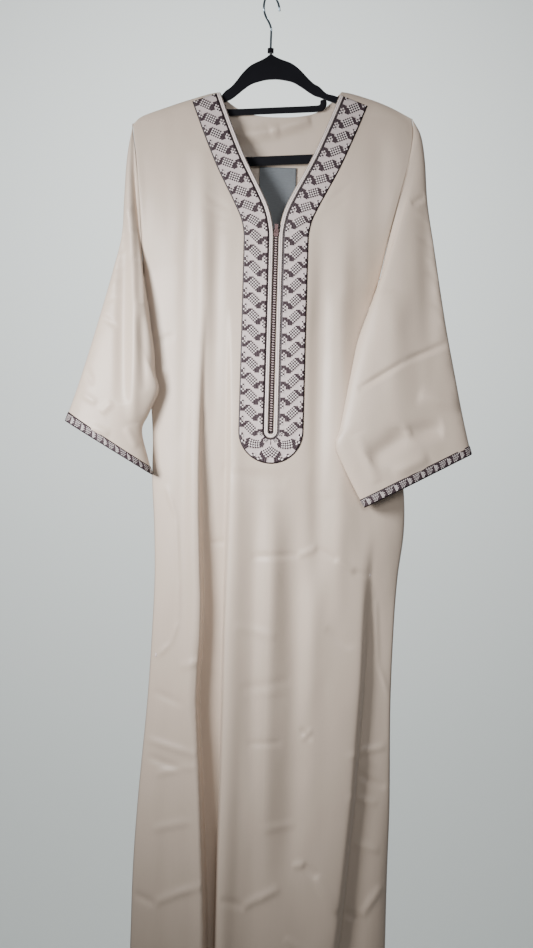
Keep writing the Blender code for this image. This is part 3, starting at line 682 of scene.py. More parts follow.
def thread(name, colour, roughness=0.62, sheen=0.2):
    """Twisted embroidery or weaving thread."""
    finish = Finish(name, colour, roughness, {"Sheen Weight": sheen})
    fibre = finish.grain(1500.0, 2.0, (1.0, 1.0, 0.3))
    patchy = finish.grain(60.0, 2.0)
    finish.feed("Base Color", finish.blend(fibre * 0.6 + patchy * 0.4, shade(colour, 0.78),
                                           shade(colour, 1.22)))
    finish.raise_by(fibre, 0.35, 0.0004)
    return finish.material


@once
def figured_ground(look):
    """The pale ground of the band, with its faint leaf-like figure of slanted ribs."""
    finish = Finish("figured ground", look.ground, 0.55, {"Sheen Weight": 0.25})
    ribs = finish.node("ShaderNodeTexWave", {"wave_type": "RINGS"},
                       {"Vector": finish.place((1.0, 0.2, 1.0)), "Scale": 140.0,
                        "Distortion": 5.0, "Detail": 2.0, "Detail Scale": 1.5})
    fibre = finish.grain(1300.0, 2.0)
    finish.feed("Base Color", finish.blend(ribs * 0.65 + fibre * 0.35,
                                           shade(look.ground, 0.80), shade(look.ground, 1.10)))
    finish.raise_by(ribs * 0.6 + fibre * 0.4, 0.5, 0.0005)
    return finish.material


@once
def bright_thread(look):
    return thread("bright thread", look.bright)


@once
def dark_thread(look):
    return thread("dark thread", look.dark, 0.55, 0.0)


@once
def edge_thread(look):
    return thread("edge thread", shade(look.dark, 0.5), 0.6, 0.0)


@once
def cord_thread(look):
    return thread("cord thread", look.cord, 0.55, 0.3)


@once
def tape_cloth(look):
    return thread("zip tape cloth", shade(look.dark, 0.6), 0.75, 0.0)


@once
def label_cloth(look):
    """Damask label: tight satin with a woven edge."""
    finish = Finish("label cloth", look.label, 0.5, {"Sheen Weight": 0.3})
    fibre = finish.grain(900.0, 2.0, (0.2, 1.0, 1.0))
    finish.feed("Base Color", finish.blend(fibre, shade(look.label, 0.8),
                                           shade(look.label, 1.25)))
    finish.raise_by(fibre, 0.3, 0.0004)
    return finish.material


@once
def bronze(look):
    """Painted metal of the slider and the teeth, worn a little bright."""
    finish = Finish("zip metal", look.bronze, 0.38, {"Metallic": 0.75})
    worn = finish.grain(700.0, 3.0)
    finish.feed("Base Color", finish.blend(worn, shade(look.bronze, 0.7),
                                           shade(look.bronze, 1.9)))
    finish.feed("Roughness", 0.28 + worn * 0.25)
    return finish.material


@once
def flock(look):
    """Short black flock, with a dusty bloom."""
    finish = Finish("flock", look.flock, 0.95, {"Sheen Weight": 0.25, "Sheen Roughness": 0.35,
                                                "Specular IOR Level": 0.15})
    pile = finish.grain(1700.0, 2.0)
    dust = finish.grain(24.0, 3.0)
    finish.feed("Base Color", finish.blend(pile * 0.6 + dust * 0.4, shade(look.flock, 0.6),
                                           shade(look.flock, 2.2)))
    finish.raise_by(pile, 0.6, 0.0006)
    return finish.material


@once
def chrome(look):
    """Plated wire, with a faint brushing along it."""
    finish = Finish("chrome", look.chrome, 0.12, {"Metallic": 1.0})
    brushed = finish.grain(500.0, 2.0, (1.0, 1.0, 0.1))
    finish.feed("Roughness", 0.08 + brushed * 0.14)
    finish.raise_by(brushed, 0.05, 0.0002)
    return finish.material


# ---- what a user may change ------------------------------------------------------------------
def colour_property(name, words, value):
    return FloatVectorProperty(name=name, description=words, default=value, size=3,
                               min=0.0, max=1.0, subtype="COLOR")


class RobeLook(bpy.types.PropertyGroup):
    """The colours of the robe and its hanger, and the size of its stitches."""
    satin: colour_property("Satin", "The robe's cloth", (0.58, 0.473, 0.385))
    ground: colour_property("Band ground", "The pale ground of the bands",
                            (0.60, 0.51, 0.50))
    bright: colour_property("Bright thread", "The dots of the bands", (0.84, 0.75, 0.73))
    dark: colour_property("Dark thread", "The figures of the bands", (0.030, 0.013, 0.019))
    cord: colour_property("Cord", "The ribbed cord at the neck", (0.74, 0.64, 0.61))
    label: colour_property("Label", "The woven label", (0.12, 0.134, 0.148))
    bronze: colour_property("Zip metal", "The zip's slider and pull", (0.09, 0.055, 0.055))
    flock: colour_property("Flock", "The hanger's covering", (0.006, 0.006, 0.008))
    chrome: colour_property("Chrome", "The hanger's hook", (0.30, 0.37, 0.43))
    stitch_rise: FloatProperty(name="Stitch rise", description="How far a stitch stands up",
                               default=STITCH_RISE * MM, min=0.0, max=0.002, unit="LENGTH")


# ---- front and back --------------------------------------------------------------------------
FRONT_COLUMNS = 72
UPPER_ROWS, SLIT_ROWS, LOWER_ROWS = 60, 44, 215
BACK_COLUMNS, BACK_ROWS = 130, 210
BACK_UPPER_ROWS, BACK_SLIT_ROWS, BACK_LOWER_ROWS = 54, 36, 120


def row_at(part, upper_rows, slit_rows, lower_rows):
    """The row of a panel: how far down the armhole it is, and its drop below the underarm."""
    row = round(part * (upper_rows + slit_rows + lower_rows))
    if row <= upper_rows:
        return (row / upper_rows) ** 1.5, UNDERARM
    if row <= upper_rows + slit_rows:
        return 1.0, mix(UNDERARM, SLIT_END, (row - upper_rows) / slit_rows)
    return 1.0, mix(SLIT_END, HEM, (row - upper_rows - slit_rows) / lower_rows)


def hem_wave(across, drop):
    """The hem hangs a little unevenly."""
    wave = HEM_WAVE * math.sin(across / HEM_WAVE_RUN)
    return wave * ease((drop - HEM_WAVE_TOP) / (HEM - HEM_WAVE_TOP))


def front_point(part_across, part_down):
    """The front's point for a column and a row. The middle column is the neck and the slit."""
    columns = 2 * FRONT_COLUMNS + 1
    column = round(part_across * columns)
    side = "left" if column <= FRONT_COLUMNS else "right"
    sign = SIDES[side]
    from_slit = FRONT_COLUMNS - column if sign < 0 else column - FRONT_COLUMNS - 1
    outward = from_slit / FRONT_COLUMNS
    down, drop = row_at(part_down, UPPER_ROWS, SLIT_ROWS, LOWER_ROWS)
    top_across = mix(CENTRE + sign * NECK_POINT, body_edge(side, SHOULDER_TIP[side]), outward)
    inner_drop = outer_drop = drop
    if down < 1.0:
        inner_drop = mix(shoulder_drop(CENTRE + sign * NECK_POINT), UNDERARM, down)
        outer_drop = mix(SHOULDER_TIP[side], UNDERARM, down)
        drop = mix(shoulder_drop(top_across), UNDERARM, down)
    inner = CENTRE + sign * neck_half(inner_drop)
    across = mix(inner, body_edge(side, outer_drop), outward)
    if down == 0.0:
        across = top_across
    free = still(across, drop)
    y = front_y(across, drop)
    if free > 0.0:
        y -= free * (creased(FRONT_CREASES, across, drop) + rumpled(across, drop, 1.0))
    return place(across + leaning(across, drop), y, drop + hem_wave(across, drop))


def make_front():
    columns = 2 * FRONT_COLUMNS + 1
    rows = UPPER_ROWS + SLIT_ROWS + LOWER_ROWS
    mesh = bmesh.new()
    bmesh.ops.create_grid(mesh, x_segments=columns, y_segments=rows, size=0.5)
    middle = 0.5 / columns
    slit_end = 0.5 - (UPPER_ROWS + SLIT_ROWS) / rows
    opening = [face for face in mesh.faces
               if abs(face.calc_center_median().x) < middle
               and face.calc_center_median().y > slit_end]
    bmesh.ops.delete(mesh, geom=opening, context="FACES")
    for vertex in mesh.verts:
        vertex.co = front_point(vertex.co.x + 0.5, 0.5 - vertex.co.y)
    made = piece("robe_front", mesh, [satin()], nodes=["front_panel"])
    return thicken(made, WALL)


def back_neck_drop(across):
    """The top edge of the back: the shoulder seams, and a shallow scoop between them."""
    inward = abs(across - CENTRE) / NECK_POINT
    if inward >= 1.0:
        return shoulder_drop(across)
    return mix(NECK_SCOOP, shoulder_drop(across), inward ** 3)


def back_point(part_across, part_down):
    """The back's point for a column and a row; its columns run the other way."""
    part = 1.0 - part_across
    down, drop = row_at(part_down, BACK_UPPER_ROWS, BACK_SLIT_ROWS, BACK_LOWER_ROWS)
    top_across = mix(body_edge("left", SHOULDER_TIP["left"]),
                     body_edge("right", SHOULDER_TIP["right"]), part)
    left_drop = right_drop = drop
    if down < 1.0:
        left_drop = mix(SHOULDER_TIP["left"], UNDERARM, down)
        right_drop = mix(SHOULDER_TIP["right"], UNDERARM, down)
        drop = mix(back_neck_drop(top_across), UNDERARM, down)
    across = mix(body_edge("left", left_drop), body_edge("right", right_drop), part)
    side = "left" if across < CENTRE else "right"
    free = ease(abs(body_edge(side, drop) - across) / SEAM_MARGIN)
    free *= ease((drop - shoulder_drop(across)) / BAND_MARGIN)
    y = back_y(across, drop)
    y += free * (creased(BACK_CREASES, across, drop) + rumpled(across, drop, 5.0))
    return place(across, y, drop + hem_wave(across, drop))


def make_back():
    mesh = grid(BACK_COLUMNS, BACK_ROWS, back_point)
    made = piece("robe_back", mesh, [satin()], nodes=["back_panel"])
    return thicken(made, WALL)


# ---- sleeves and cuffs -----------------------------------------------------------------------
SLEEVE_TURNS = 132
SLEEVE_ROWS = 150


@functools.lru_cache(maxsize=None)
def sleeve_row(side, along):
    """The sleeve's edges and depth at a part of its length."""
    rows = SLEEVES[side]
    marks = [i / (len(rows) - 1) for i in range(len(rows))]
    return Sleeve(*(smooth_read(marks, [row[i] for row in rows], along)
                    for i in range(len(Sleeve._fields))))


def sleeve_shape(side, along, turn, out=0.0, crumple=True):
    """A point of a sleeve. It turns from its outer edge over the front to its inner edge."""
    row = sleeve_row(side, along)
    angle = 2.0 * math.pi * turn
    inward = (1.0 - math.cos(angle)) / 2.0
    lift = abs(math.sin(angle)) ** 0.8
    in_front = math.sin(angle) >= 0.0
    across = mix(row.outer, row.inner, inward)
    drop = mix(row.outer_drop, row.inner_drop, inward)
    middle = mix(row.at_outer, row.at_inner, ease(inward))
    y = middle - row.half * lift * (1 if in_front else -1)
    sign = SIDES[side]
    edge = body_edge(side, drop)
    if sign * (edge - across) > -SLEEVE_CLEAR and drop > UNDERARM:
        covered = ease((sign * (edge - across) + SLEEVE_CLEAR) / (2.0 * SLEEVE_CLEAR))
        limit = front_y(across, drop) - SLEEVE_CLEAR - (SLEEVE_LAYER * lift if in_front else 0.0)
        y = mix(y, min(y, limit), covered)
    if crumple:
        free = ease(lift * 1.6) * ease(along / 0.06)
        bend = rumpled(across, drop, 11.0 * sign + (0.0 if in_front else 4.0))
        if in_front:
            bend += creased(SLEEVE_CREASES[side], across, drop) + puckered(side, across, drop)
            y -= free * bend
        elif sign * (edge - across) < -20.0:
            y += free * bend
    joined = 1.0 - ease(along / 0.09)
    if joined > 0.0:
        seam_drop = mix(SHOULDER_TIP[side], UNDERARM, inward)
        seam_across = body_edge(side, seam_drop)
        seam_y = front_y(seam_across, seam_drop) if in_front else back_y(seam_across, seam_drop)
        across = mix(across, seam_across + sign * ARMHOLE_GAP, joined)
        drop = mix(drop, seam_drop, joined)
        y = mix(y, seam_y, joined)
    if out:
        line = Vector((row.outer - row.inner, 0.0, row.outer_drop - row.inner_drop))
        away = line.normalized() * (1.0 - 2.0 * inward) * 2.0 / line.length
        away.y = (y - middle) / row.half ** 2
        away.normalize()
        across += away.x * out
        y += away.y * out
        drop += away.z * out
    return across, y, drop


def puckered(side, across, drop):
    """The short puckers along a sleeve's outer seam."""
    total = 0.0
    sign = SIDES[side]
    for pucker in SEAM_PUCKERS:
        if abs(drop - pucker.drop) < 30.0:
            along = min(max((pucker.drop - OUTER_SEAM_TOP) / OUTER_SEAM_FALL, 0.0), 1.0)
            reach = sign * (sleeve_row(side, along).outer - across)
            if -12.0 < reach < pucker.length + 12.0:
                slope = 0.35 * reach
                off = (drop - pucker.drop + slope) / 4.0
                fade = 1.0 - ease((reach - 6.0) / pucker.length)
                total += pucker.height * fade * math.exp(-off * off)
    return total


def make_sleeve(side):
    sign = SIDES[side]

    def point(part_around, part_down):
        turn = part_around if sign > 0 else 1.0 - part_around
        return place(*sleeve_shape(side, part_down, turn))

    mesh = grid(SLEEVE_TURNS, SLEEVE_ROWS, point, closed=True)
    bmesh.ops.reverse_faces(mesh, faces=mesh.faces)
    made = piece("robe_sleeve_" + side, mesh, [satin()],
                 nodes=["sleeve_" + side])
    return thicken(made, WALL)


def thread_materials():
    return [figured_ground(), bright_thread(), dark_thread(), edge_thread()]


def raise_stitches(mesh, rise):
    """Stand each stitch that isn't ground up as a small pillow; a bright one is a dot on dark."""
    stitches = [face for face in mesh.faces if face.material_index in (BRIGHT, DARK)]
    made = bmesh.ops.inset_individual(mesh, faces=stitches, thickness=STITCH_EDGE * MM,
                                      depth=rise)
    for face in made["faces"]:
        if face.material_index == BRIGHT:
            face.material_index = DARK


def chart_faces(mesh, columns, rows, thread_at):
    """Give each face of an unplaced grid the thread of its cell."""
    for face in mesh.faces:
        centre = face.calc_center_median()
        column = int((centre.x + 0.5) * columns)
        row = int((0.5 - centre.y) * rows)
        face.material_index = thread_at(column, row)


def make_cuff_band(side, rise):
    """The narrow band round a cuff, woven to its own chart between two dark lines."""
    sign = SIDES[side]
    stitches = CUFF_REPEATS * len(CUFF_CHART[0])
    rows = len(CUFF_CHART) + 2
    turns = even_turns(side, stitches)

    def thread_at(column, row):
        if row in (0, rows - 1):
            return EDGE
        line = CUFF_CHART[row - 1]
        index = column % len(line)
        return THREADS[line[index if sign > 0 else -1 - index]]

    def point(part_around, part_down):
        turn = turns[round(part_around * stitches)]
        low = Vector(sleeve_shape(side, 1.0, turn, crumple=False))
        speed = (low - Vector(sleeve_shape(side, 0.95, turn, crumple=False))).length / 0.05
        along = 1.0 - CUFF_DEPTH / speed * (1.0 - part_down)
        return place(*sleeve_shape(side, along, turn, BAND_RISE, crumple=False))

    mesh = grid(stitches, rows, point, closed=True, thread_at=thread_at)
    mesh.normal_update()
    middle = sum((vertex.co for vertex in mesh.verts), Vector()) / len(mesh.verts)
    if sum(face.normal.dot(face.calc_center_median() - middle) for face in mesh.faces) < 0.0:
        bmesh.ops.reverse_faces(mesh, faces=mesh.faces)
    raise_stitches(mesh, rise)
    made = piece("cuff_band_woven_" + side, mesh, thread_materials(),
                 nodes=["cuff_band_" + side])
    return thicken(made, BAND_WALL)


def even_turns(side, steps):
    """Turns round a cuff that are the same distance apart along the cloth."""
    fine = 720
    spots = [Vector(sleeve_shape(side, 1.0, i / fine, crumple=False)) for i in range(fine + 1)]
    lengths = [0.0]
    for i in range(fine):
        lengths.append(lengths[-1] + (spots[i + 1] - spots[i]).length)
    turns = []
    low = 0
    for step in range(steps + 1):
        wanted = lengths[-1] * step / steps
        while low < fine - 1 and lengths[low + 1] < wanted:
            low += 1
        part = (wanted - lengths[low]) / (lengths[low + 1] - lengths[low])
        turns.append((low + part) / fine)
    return turns


# ---- the neck's band and cord ----------------------------------------------------------------
def neck_route(step_length, offset):
    """Evenly spaced steps along the neck and slit, each with the way out of the opening."""
    route = []
    drop = shoulder_drop(CENTRE - NECK_POINT)
    while drop < SLIT_ROUND:
        route.append(Vector((-neck_half(drop), drop)))
        drop += 2.0
    turns = 40
    for i in range(turns + 1):
        angle = math.pi * i / turns
        route.append(Vector((-SLIT_HALF * math.cos(angle),
                             SLIT_ROUND + SLIT_HALF * math.sin(angle))))
    half = len(route) - turns - 1
    route.extend(Vector((-step.x, step.y)) for step in reversed(route[:half]))
    frames = []
    for i, step in enumerate(route):
        reach = 7 if step.y < SLIT_ROUND - 20.0 else 1
        ahead = route[min(i + reach, len(route) - 1)] - route[max(i - reach, 0)]
        away = Vector((-ahead.y, ahead.x)).normalized()
        frames.append((step, away, step + away * offset))
    lengths = [0.0]
    for before, after in zip(frames, frames[1:]):
        lengths.append(lengths[-1] + (after[2] - before[2]).length)
    count = round(lengths[-1] / step_length)
    steps = []
    low = 0
    for i in range(count + 1):
        wanted = lengths[-1] * i / count
        while low < len(frames) - 2 and lengths[low + 1] < wanted:
            low += 1
        part = (wanted - lengths[low]) / (lengths[low + 1] - lengths[low])
        steps.append((frames[low][0].lerp(frames[low + 1][0], part),
                      frames[low][1].lerp(frames[low + 1][1], part).normalized()))
    return steps


def on_front(step, away, offset, rise):
    """A point of the neck's band or cord, laid out on the front."""
    spot = step + away * offset
    across = CENTRE + spot.x
    drop = max(spot.y, shoulder_drop(across) + NECK_END_DROP)
    return place(across, front_y(across, drop) - rise, drop)


def make_neck_band(rise):
    """The wide band: a dark line, fourteen stitches of the chart, and another dark line."""
    stitches = len(NECK_CHART[0])
    cell = (BAND_OUTER - BAND_INNER - BAND_INNER_LINE - BAND_OUTER_LINE) / stitches
    offsets = [BAND_INNER, BAND_INNER + BAND_INNER_LINE]
    offsets += [offsets[1] + cell * (i + 1) for i in range(stitches)] + [BAND_OUTER]
    steps = neck_route(cell, (BAND_INNER + BAND_OUTER) / 2.0)
    rows = len(steps) - 1
    columns = len(offsets) - 1

    def thread_at(column, row):
        if column in (0, columns - 1):
            return EDGE
        from_end = row if row < rows / 2 else rows - 1 - row
        return THREADS[NECK_CHART[from_end % len(NECK_CHART)][stitches - column]]

    def point(part_across, part_down):
        step, away = steps[round(part_down * rows)]
        return on_front(step, away, offsets[round(part_across * columns)], BAND_RISE)

    mesh = grid(columns, rows, point, thread_at=thread_at)
    face_towards(mesh, Vector((0.0, -1.0, 0.0)))
    raise_stitches(mesh, rise)
    made = piece("neck_band_woven", mesh, thread_materials(),
                 nodes=["neck_band"])
    return thicken(made, BAND_WALL)


def make_neck_cord():
    """Two twisted cords side by side between dark lines."""
    steps = neck_route(CORD_PITCH / 4.0, (CORD_INNER + CORD_OUTER) / 2.0)
    rows = len(steps) - 1
    columns = 12

    def profile(part):
        """How high the cord stands across its width: flat lines and two round ribs."""
        inside = (part - 1.0 / columns) / (1.0 - 2.0 / columns)
        if not 0.0 < inside < 1.0:
            return 0.0
        return abs(math.sin(2.0 * math.pi * inside)) ** 0.6

    def point(part_across, part_down):
        row = round(part_down * rows)
        step, away = steps[row]
        twist = 0.5 + 0.5 * math.cos(2.0 * math.pi * (row / 4.0 + part_across * 2.0))
        height = CORD_RISE + profile(part_across) * (CORD_RIBS * 0.62 + 0.45 * twist)
        return on_front(step, away, mix(CORD_INNER, CORD_OUTER, part_across), height)

    def thread_at(column, row):
        return 1 if column in (0, columns - 1) else 0

    mesh = grid(columns, rows, point, thread_at=thread_at)
    face_towards(mesh, Vector((0.0, -1.0, 0.0)))
    made = piece("neck_cord_ribbed", mesh, [cord_thread(), edge_thread()],
                 nodes=["neck_cord"])
    return thicken(made, TRIM_WALL)


# ---- label, pockets and tacks ----------------------------------------------------------------
def make_label():
    """The blank woven label, sewn to the back's inner face."""
    def point(part_across, part_down):
        across = CENTRE + mix(-LABEL_HALF, LABEL_HALF, part_across)
        drop = mix(LABEL_TOP, LABEL_END, part_down)
        lift = LABEL_LIFT + 1.2 * ease(part_down) + 0.5 * math.sin(part_across * math.pi)
        return place(across, back_y(across, drop) - WALL - lift, drop)

    mesh = grid(40, 40, point)
    face_towards(mesh, Vector((0.0, -1.0, 0.0)))
    made = piece("label_woven", mesh, [label_cloth()], nodes=["label"])
    return thicken(made, BAND_WALL)


def make_pocket(side):
    """A pocket bag, hanging from the side seam behind the front."""
    pocket = POCKETS[side]

    def point(part_across, part_down):
        drop = mix(pocket.top, pocket.end, part_down)
        rounding = (1.0 - abs(2.0 * part_down - 1.0) ** 3.0) ** 0.5
        reach = mix(pocket.at_seam, pocket.reach, 0.35 + 0.65 * rounding)
        across = mix(pocket.at_seam, reach, part_across)
        return place(across, front_y(across, drop) + WALL + POCKET_BEHIND, drop)

    mesh = grid(16, 60, point)
    face_towards(mesh, Vector((0.0, -1.0, 0.0)))
    made = piece("pocket_cloth_" + side, mesh, [satin()],
                 nodes=["pocket_bag_" + side])
    return thicken(made, WALL)


def make_tacks():
    """The small bars of thread that fasten the pocket bags to the front."""
    mesh = bmesh.new()
    for tack in POCKET_TACKS:
        for i in range(5):
            across = tack.across + (i - 2) * 0.55
            spot = place(across, front_y(across, tack.drop) - 0.6, tack.drop)
            made = bmesh.ops.create_uvsphere(mesh, u_segments=8, v_segments=6, radius=0.5 * MM)
            bmesh.ops.scale(mesh, vec=(0.8, 0.8, 7.0), verts=made["verts"])
            bmesh.ops.translate(mesh, vec=spot, verts=made["verts"])
    return piece("pocket_tacks", mesh, [cord_thread()])


# ---- the zip ---------------------------------------------------------------------------------
def make_zip_tape():
    def point(part_across, part_down):
        across = CENTRE + mix(-TAPE_HALF, TAPE_HALF, part_across)
        drop = mix(TAPE_TOP, TAPE_END, part_down)
        return place(across, front_y(across, drop) + WALL + TAPE_BEHIND, drop)

    mesh = grid(24, 160, point)
    face_towards(mesh, Vector((0.0, -1.0, 0.0)))
    made = piece("zip_tape_woven", mesh, [tape_cloth()], nodes=["zip_tape"])
    return thicken(made, TRIM_WALL)


def make_zip_chain():
    """The closed chain: dark teeth from both sides in turn, with a pale thread over each pair."""
    mesh = bmesh.new()
    count = round((CHAIN_END - CHAIN_TOP) / CHAIN_PITCH)
    for i in range(count):
        drop = mix(CHAIN_TOP + TOOTH.z, CHAIN_END - TOOTH.z, i / (count - 1))
        for sign in (-1, 1):
            add_tooth(mesh, sign * TOOTH_ASIDE, drop + sign * CHAIN_PITCH / 4.0, 0.35, TOOTH, 0)
        add_tooth(mesh, 0.0, drop, 0.7, CHAIN_THREAD, 1)
    bed = bmesh.ops.create_grid(mesh, x_segments=2, y_segments=120, size=0.5)
    for vertex in bed["verts"]:
        drop = mix(CHAIN_TOP, CHAIN_END, 0.5 - vertex.co.y)
        vertex.co = place(CENTRE + vertex.co.x * CHAIN_BED, front_y(CENTRE, drop) + 0.55, drop)
    for face in {face for vertex in bed["verts"] for face in vertex.link_faces}:
        face.material_index = 2
    return piece("zip_chain_teeth", mesh, [bronze(), cord_thread(), tape_cloth()],
                 nodes=["zip_chain"])


def add_tooth(mesh, aside, drop, forward, size, material):
    """One small rounded block of the chain."""
    spot = place(CENTRE + aside, front_y(CENTRE, drop) - forward, drop)
    matrix = Matrix.Translation(spot) @ Matrix.Diagonal((*(size * MM), 1.0))
    made = bmesh.ops.create_cube(mesh, size=1.0, matrix=matrix)
    for face in {face for vertex in made["verts"] for face in vertex.link_faces}:
        face.material_index = material
    bmesh.ops.bevel(mesh, geom=edges_of(made["verts"]), offset=0.28 * MM, segments=2,
                    profile=0.5, affect="EDGES", material=-1)


def edges_of(verts):
    return list({edge for vertex in verts for edge in vertex.link_edges})


# ---- the hanger ------------------------------------------------------------------------------
def on_hanger(across, y, drop):
    """A point of the hanger, tilted about the top of its collar."""
    turned = Matrix.Rotation(-HANGER_TILT, 3, "Y") @ Vector((across, y, -drop))
    return (turned + Vector((0.0, 0.0, -HANGER_TOP))) * MM


def smooth_route(points, steps):
    """A smooth curve through a list of points."""
    route = []
    for i in range(len(points) - 1):
        before = points[max(i - 1, 0)]
        after = points[min(i + 2, len(points) - 1)]
        start, end = points[i], points[i + 1]
        for j in range(steps):
            t = j / steps
            route.append(0.5 * (2.0 * start + (end - before) * t
                                + (2.0 * before - 5.0 * start + 4.0 * end - after) * t * t
                                + (3.0 * start - before - 3.0 * end + after) * t ** 3))
    route.append(points[-1])
    return route


def tube(route, radius, sides, side_hint, flattened=1.0):
    """A round or flattened bar along a route, with domed ends."""
    rows = len(route) + 5

    def point(part_around, part_down):
        row = round(part_down * rows)
        index = min(max(row - 3, 0), len(route) - 1)
        ahead = (route[min(index + 1, len(route) - 1)] - route[max(index - 1, 0)]).normalized()
        one = ahead.cross(side_hint).normalized()
        two = ahead.cross(one)
        beyond = max(3 - row, row - (rows - 3), 0) / 3.0
        turn = 2.0 * math.pi * part_around
        wide = radius * MM * math.sqrt(max(1.0 - beyond ** 2, 0.0))
        dome = ahead * (beyond * radius * MM * 0.8 * (-1.0 if row < 3 else 1.0))
        return route[index] + dome + (one * math.cos(turn) + two * math.sin(turn)) * wide

    mesh = grid(sides, rows, point, closed=True)
    bmesh.ops.scale(mesh, vec=(1.0, flattened, 1.0), verts=mesh.verts)
    bmesh.ops.recalc_face_normals(mesh, faces=mesh.faces)
    return mesh


def make_hanger_body():
    """The flat flocked body, its outline read smoothly and its edges rounded."""
    reach = HANGER_ARM[-1].across
    columns, rows = 160, 8

    def point(part_across, part_down):
        across = mix(-reach, reach, part_across)
        top = read("arm", "across", "top", abs(across))
        under = read("arm", "across", "under", abs(across))
        rounding = math.sqrt(max(1.0 - (abs(across) / reach) ** 24, 0.02))
        middle = (top + under) / 2.0
        return on_hanger(across, -HANGER_DEPTH / 2.0,
                         middle + (mix(top, under, part_down) - middle) * rounding)

    mesh = grid(columns, rows, point)
    made = piece("hanger_body_flocked", mesh, [flock()], nodes=["hanger_body"])
    thicken(made, HANGER_DEPTH)
    soft = made.modifiers.new("edge", "BEVEL")
    soft.width = 1.2 * MM
    soft.segments = 3
    soft.limit_method = "ANGLE"
    soft.angle_limit = math.radians(50.0)
    return made


def make_hanger_bars():
    for name, bends, radius, node in (
            ("trouser_bar_flocked", TROUSER_BAR, TROUSER_BAR_RADIUS, "hanger_trouser_bar"),
            ("accessory_bar_flocked", ACCESSORY_BAR, ACCESSORY_BAR_RADIUS,
             "hanger_accessory_bar")):
        route = smooth_route([on_hanger(bend.across, 0.0, bend.drop) for bend in bends], 8)
        mesh = tube(route, radius, 20, Vector((0.0, 1.0, 0.0)), BAR_FLATTENED)
        piece(name, mesh, [flock()], nodes=[node])


def make_hook():
    """The wire hook in its own upright plane, which is swivelled out of the hanger's."""
    start, end, step = HOOK_ARC
    bends = [(bend.across, bend.drop) for bend in HOOK_RISE]
    for angle in range(start, end - 1, -step):
        turn = math.radians(angle)
        bends.append((HOOK_RADIUS * math.cos(turn),
                      HOOK_RADIUS - HOOK_WIRE - HOOK_RADIUS * math.sin(turn)))
    points = [place(reach * math.cos(HOOK_SWIVEL), reach * math.sin(HOOK_SWIVEL), drop)
              for reach, drop in bends]
    side_hint = Vector((-math.sin(HOOK_SWIVEL), math.cos(HOOK_SWIVEL), 0.0))
    mesh = tube(smooth_route(points, 10), HOOK_WIRE, 20, side_hint)
    piece("hook_wire", mesh, [chrome()], nodes=["hanger_hook"])


# ---- operators -------------------------------------------------------------------------------
class ROBE_OT_cloth(bpy.types.Operator):
    """Make the front and the back."""
    bl_idname = "robe.cloth"
    bl_label = "Make front and back"

    def execute(self, context):
        front = make_front()
        back = make_back()
        return {"FINISHED"}


class ROBE_OT_sleeves(bpy.types.Operator):
    """Make both sleeves and their woven cuff bands."""
    bl_idname = "robe.sleeves"
    bl_label = "Make sleeves and cuffs"

    def execute(self, context):
        rise = context.scene.robe_look.stitch_rise
        for side in SIDES:
            sleeve = make_sleeve(side)
            cuff = make_cuff_band(side, rise)
        return {"FINISHED"}


class ROBE_OT_trim(bpy.types.Operator):
    """Make the woven band and the ribbed cord round the neck and the zip."""
    bl_idname = "robe.trim"
    bl_label = "Make neck band and cord"

    def execute(self, context):
        band = make_neck_band(context.scene.robe_look.stitch_rise)
        cord = make_neck_cord()
        return {"FINISHED"}


class ROBE_OT_zip(bpy.types.Operator):
    """Make the zip's tape and chain, and finish its slider and pull tab."""
    bl_idname = "robe.zip"
    bl_label = "Make zip"

    def execute(self, context):
        tape = make_zip_tape()
        make_zip_chain()
        for node in ("zip_slider", "zip_pull"):
            refinish(node, bronze())
        return {"FINISHED"}


class ROBE_OT_inside(bpy.types.Operator):
    """Make the label, the pocket bags and the tacks that hold them."""
    bl_idname = "robe.inside"
    bl_label = "Make label and pockets"

    def execute(self, context):
        label = make_label()
        for side, pocket in POCKETS.items():
            made = make_pocket(side)
            width = abs(pocket.reach - pocket.at_seam) * MM
            (pocket.end - pocket.top) * MM
            0.86 * width * (pocket.end - pocket.top) * MM
        make_tacks()
        return {"FINISHED"}


class ROBE_OT_hanger(bpy.types.Operator):
    """Make the flocked hanger, its two bars, its collar and its wire hook."""
    bl_idname = "robe.hanger"
    bl_label = "Make hanger"

    def execute(self, context):
        make_hanger_body()
        make_hanger_bars()
        make_hook()
        refinish("hanger_collar", flock())
        return {"FINISHED"}


class ROBE_OT_studio(bpy.types.Operator):
    """Make the pale wall and floor, the soft lights and the camera."""
    bl_idname = "robe.studio"
    bl_label = "Make studio"

    def execute(self, context):
        make_stage()
        make_lights()
        make_camera()
        return {"FINISHED"}


def refinish(node, material):
    """Give a frame node its finished material."""
    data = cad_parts[node].data
    data.materials.clear()
    data.materials.append(material)


# ---- the studio ------------------------------------------------------------------------------
WALL_BEHIND = 8.0
FLOOR_BELOW = -3.7
STAGE_HALF = 12.0
CAMERA_AT = Vector((0.012, -3.0, -0.766))
CAMERA_LENS = 71.0
CAMERA_ROLL = math.radians(-1.575)
ROOM_LIGHT = 0.18
Light = namedtuple("Light", "name spot aim size power spread")
LIGHTS = rows_of(Light, [
    ("key", (-0.9, -0.95, -0.4), (0.05, 0.0, -0.7), 0.45, 7.4, 72.0),
    ("front", (0.3, -2.2, -0.1), (0.05, 0.0, -0.75), 0.6, 1.2, 45.0),
    ("wall", (-0.3, 4.4, 1.2), (-0.2, 8.0, -0.5), 2.4, 330.0, 180.0),
    ("behind", (0.9, 1.5, 1.1), (0.0, 0.0, -0.7), 0.8, 30.0, 180.0),
])


